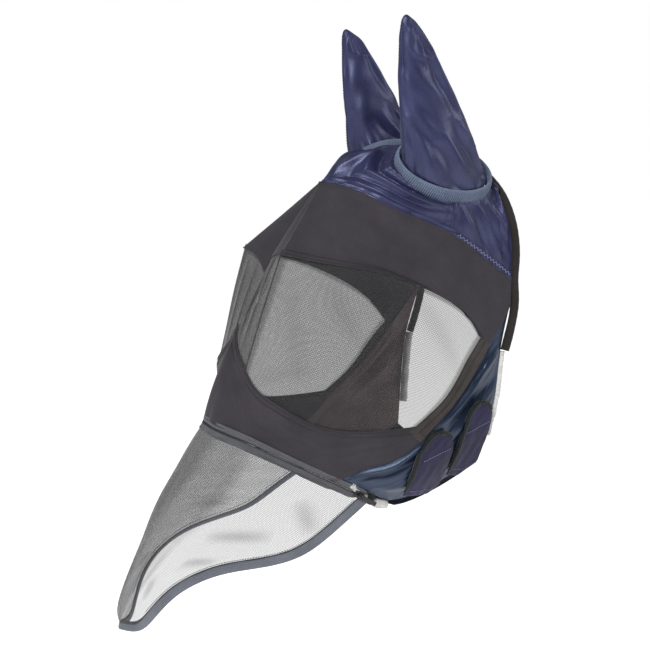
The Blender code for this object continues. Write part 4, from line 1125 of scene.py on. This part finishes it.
clothPanel("noseCover", "cover", "left", "nose_cover", "flyMesh", meshRelief(cover, 81, False),
           100, 130, (zipLook["tapeEnd"] - 3 * mm, cover["tipInset"], 0, 1 * mm),
           wall=0.4 * mm, whole=True, body="nose_cover_body",
           densityWithFoldShade=meshDensityAndFoldShade(cover, 0.0, 0.14, False))

edge, middle = smoothLine(seam["coverEdge"], 400)[4:], smoothLine(seam["middleCover"], 400)[4:]
goal = np.minimum(np.arange(len(middle)), int(cover["tipGoal"] * len(middle)))
tangent = unit(np.gradient(edge, axis=0))
inward = middle[goal] - edge
inward = inward - tangent * np.sum(inward * tangent, axis=1, keepdims=True)
inward[-1] = cover["tipInward"]
facing = np.cross(unit(inward), tangent)
facing = facing * (1 if facing[20, 0] > 0 else -1)
mirror = np.array((-1, 1, 1))
path = np.concatenate((onRight(edge)[:-1], edge[::-1]))
normals = np.concatenate((facing[:-1] * mirror, facing[::-1]))


def coverRibs(reach, turn):
    # six ribs along the tape and fine ones across its faces
    return 1 + 0.05 * np.cos(6 * turn) + 0.05 * np.sin(reach / (1.9 * mm) * 2 * math.pi) * np.sin(turn) ** 2


mesh = tubeMesh("coverBinding", evenly(path, 900), spread(normals, 900), cover["bindingWidth"] / 2,
                cover["bindingHeight"], 20, relief=coverRibs)
addPiece("coverBinding", mesh, "greyBinding", "nose_cover_body", ("cover_binding",))
print("nose cover made")


# closing tabs: hook pads on loop patches, bound edges and a pale line of stitching

tabs = {"lower": {"root": (-0.038, -0.353), "tip": (-0.028, -0.281), "width": 42 * mm},
        "upper": {"root": (0.010, -0.339), "tip": (0.029, -0.257), "width": 37 * mm}}
layers = {"step": 1.7 * mm, "tabWall": 1.2 * mm, "patchWall": 0.8 * mm, "edging": 2.3 * mm, "straight": 0.62}


def jawPlace(y, z):
    # Newton's steps to the shares u and v at which the left jaw panel has that y and z
    goal = np.stack((y, z), -1)
    u, v = np.full(y.shape, 0.5), np.full(y.shape, 0.5)
    h = 0.002
    for _ in range(14):
        here = coons(panels["jaw"], u, v)[..., 1:]
        du = (coons(panels["jaw"], u + h, v)[..., 1:] - here) / h
        dv = (coons(panels["jaw"], u, v + h)[..., 1:] - here) / h
        miss = goal - here
        det = du[..., 0] * dv[..., 1] - du[..., 1] * dv[..., 0]
        u = np.clip(u + (miss[..., 0] * dv[..., 1] - miss[..., 1] * dv[..., 0]) / det, 0, 0.99)
        v = np.clip(v + (du[..., 0] * miss[..., 1] - du[..., 1] * miss[..., 0]) / det, 0, 0.99)
    return u, v


def tabGrid(tab, margin, layer, start=0.0, columns=44, rows=70):
    # a strap with straight sides and a round end, laid on the jaw panel at a set layer
    root, tip = np.array(tab["root"]), np.array(tab["tip"])
    along = tip - root
    length = np.linalg.norm(along)
    along = along / length
    aside = np.array((along[1], -along[0]))
    run = 1 - (1 - start) * (1 - np.linspace(0, 1, rows)) ** 1.7
    beyond = np.maximum(run - layers["straight"], 0) / (1 - layers["straight"])
    half = (1 - 0.96 * beyond ** 2.4) ** 0.5 * (tab["width"] / 2 + margin)
    reach = (length + margin) * run
    side = np.linspace(-1, 1, columns)
    at = root + reach[:, None, None] * along + (half[:, None] * side)[..., None] * aside
    u, v = jawPlace(at[..., 0], at[..., 1])
    base = coons(panels["jaw"], u, v)
    swell = panels["jaw"]["bulge"] * 4 * np.sin(math.pi * u) * v * (1 - v)
    return base + gridNormals(base) * (swell + layer * layers["step"])[..., None]


for name, tab in tabs.items():
    loop = tabGrid(tab, 1 * mm, 1.2, 0.12)
    normals = gridNormals(loop)
    x, y = gridSizes(loop)
    loop = loop + normals * crumple(x, y, 1.6 * mm, 0.12 * mm, 91)[..., None]
    addPiece(f"loopPatch_{name}", gridMesh(f"loopPatch_{name}", loop, False, normals), "loopTape", "mask",
             (f"loop_patch_{name}",), layers["patchWall"])
    hook = tabGrid(tab, -3 * mm, 2.1, 0.25)
    normals = gridNormals(hook)
    x, y = gridSizes(hook)
    hooks = np.maximum(np.sin(x / (0.35 * mm)) * np.sin(y / (0.35 * mm)), 0) * 0.25 * mm
    addPiece(f"hookPad_{name}", gridMesh(f"hookPad_{name}", hook, False, normals), "hookTape",
             f"{name}_tab", (f"hook_pad_{name}",), layers["patchWall"])
    outer = tabGrid(tab, 0, 3.4)
    normals = gridNormals(outer)
    x, y = gridSizes(outer)
    pillow = 0.8 * mm * np.sin(math.pi * np.linspace(0, 1, outer.shape[1]))[None] ** 0.5
    pillow = pillow + crumple(x, y, 14 * mm, 0.25 * mm, 93)
    outer = outer + normals * pillow[..., None]
    addPiece(f"tab_{name}", gridMesh(f"tab_{name}", outer, False, normals), "tabCloth", f"{name}_tab",
             (f"tab_{name}",), layers["tabWall"])
    rim = np.concatenate((outer[3:, 0], outer[-1, 1:-1], outer[::-1, -1][:16]))
    rimNormals = np.concatenate((normals[3:, 0], normals[-1, 1:-1], normals[::-1, -1][:16]))
    rim, rimNormals = evenly(rim, 220), spread(rimNormals, 220)
    mesh = tubeMesh(f"tabEdging_{name}", rim - rimNormals * 0.3 * mm, rimNormals, layers["edging"],
                    1.3 * mm, 14, relief=lambda reach, turn: 1 + 0.05 * np.sin(reach / (0.5 * mm)))
    addPiece(f"tabEdging_{name}", mesh, "tabEdging", f"{name}_tab")
    columns = np.arange(4, outer.shape[1] - 4)
    rows = np.linspace(28, 40, len(columns))
    below, part = rows.astype(int), (rows % 1)[:, None]
    slanted = [evenly(grid[below, columns] * (1 - part) + grid[below + 1, columns] * part, 60)
               for grid in (outer, normals)]
    lines = [slanted,
             (evenly(outer[4, 4:-4], 60), evenly(normals[4, 4:-4], 60))]
    stitchPiece(f"tabStitching_{name}", lines, "lilacThread", f"{name}_tab", radius=0.3 * mm, lift=0.2 * mm)
print("tabs made")


# seam stitching

seamSpan = (0.01, 0.99)
for side in sides:
    for panel, edge in (("brow", "bottom"), ("nose", "top")):
        hems = [edgeLine(panel, edge, d, side, 1.5 * mm, seamSpan) for d in (-1 * mm, 4 * mm)]
        stitchPiece(f"{panel}Stitching_{side}", hems, "darkThread", "mask", radius=0.38 * mm, lift=0.35 * mm)
    strips = [edgeLine("strip", edge, d, side, 1.7 * mm, seamSpan)
              for edge, d in (("front", -1 * mm), ("front", 5.5 * mm), ("rear", -1 * mm))]
    stitchPiece(f"stripStitching_{side}", strips, "darkThread", "mask", radius=0.38 * mm, lift=0.2 * mm)
    hemGrid = hemStrip(side, -1.6 * mm, crown["hemWidth"] - 4.4 * mm, 3, crown["hemLift"] + 0.7 * mm)
    hemNormals = gridNormals(hemGrid)
    hemRows = [(hemGrid[row], hemNormals[row]) for row in (0, 2)]
    stitchPiece(f"hemStitching_{side}", hemRows, "navyThread", "mask", radius=0.34 * mm, lift=0.25 * mm)
    rear = slice(130, 198)
    stitchPiece(f"hemZigzag_{side}", [(hemGrid[1, rear], hemNormals[1, rear])], "lilacThread", "mask",
                spacing=2.4 * mm, length=4.6 * mm, radius=0.28 * mm, lift=0.5 * mm, slant=1.2)
    front, frontNormals = crownGrids["Front", side], gridNormals(crownGrids["Front", side])
    seamRows = [(evenly(front[4:-6, c], 90), evenly(frontNormals[4:-6, c], 90)) for c in (-3, -7)]
    stitchPiece(f"crownSeamStitching_{side}", seamRows, "navyThread", "mask", radius=0.3 * mm, lift=0.2 * mm)
    coverRow = edgeLine("cover", "rear", 6.2 * mm, side, 0.5 * mm, (0.03, 0.86))
    stitchPiece(f"coverStitching_{side}", [coverRow], "darkThread", "nose_cover_body", spacing=2.6 * mm,
                length=2.3 * mm, radius=0.35 * mm, lift=0.2 * mm)
print("stitching made")


# floor, light and camera

studio = {"floorLevel": -0.60, "floorColour": "#f4f4f4", "eye": (0.871, -0.567, 0.0025),
          "target": (0, -0.110, -0.178), "lens": 51.3, "sensor": 36, "ambient": 0.24, "backdrop": 1.0,
          "floorGlow": 0.8, "lights": {"keyLight": ((0.75, -1.1, 1.0), 26, 0.5),
                                       "rimLight": ((0.9, 1.1, 0.7), 6, 0.6)}}
bpy.ops.mesh.primitive_plane_add(size=40, location=(0, 0, studio["floorLevel"]))
floor = bpy.context.object
floor.name = "floor"
floorMaterial, tree, output = newMaterial("paleFloor")
shader = addNode(tree, "ShaderNodeBsdfPrincipled",
                 {"Base Color": linear(studio["floorColour"]), "Roughness": 0.9,
                  "Emission Color": (1, 1, 1, 1), "Emission Strength": studio["floorGlow"]})
tree.links.new(shader.outputs[0], output.inputs[0])
floor.data.materials.append(floorMaterial)

world = bpy.data.worlds.new("studioWorld")
world.use_nodes = True
tree = world.node_tree
seen = addNode(tree, "ShaderNodeLightPath").outputs["Is Camera Ray"]
strength = addNode(tree, "ShaderNodeMapRange", {"To Min": studio["ambient"], "To Max": studio["backdrop"]},
                   {"Value": seen}).outputs[0]
tree.nodes["Background"].inputs[0].default_value = (1, 1, 1, 1)
tree.links.new(strength, tree.nodes["Background"].inputs[1])
bpy.context.scene.world = world
bpy.context.scene.view_settings.view_transform = "Standard"


def aimed(thing, at, target):
    # placed and turned to face the target
    thing.location = at
    thing.rotation_euler = (Vector(target) - Vector(at)).to_track_quat("-Z", "Y").to_euler()
    bpy.context.scene.collection.objects.link(thing)


for name, (at, power, size) in studio["lights"].items():
    light = bpy.data.lights.new(name, "AREA")
    light.energy, light.size = power, size
    aimed(bpy.data.objects.new(name, light), at, studio["target"])
camera = bpy.data.cameras.new("camera")
camera.lens, camera.sensor_width = studio["lens"], studio["sensor"]
cameraObject = bpy.data.objects.new("camera", camera)
aimed(cameraObject, studio["eye"], studio["target"])
bpy.context.scene.camera = cameraObject
print("studio made")
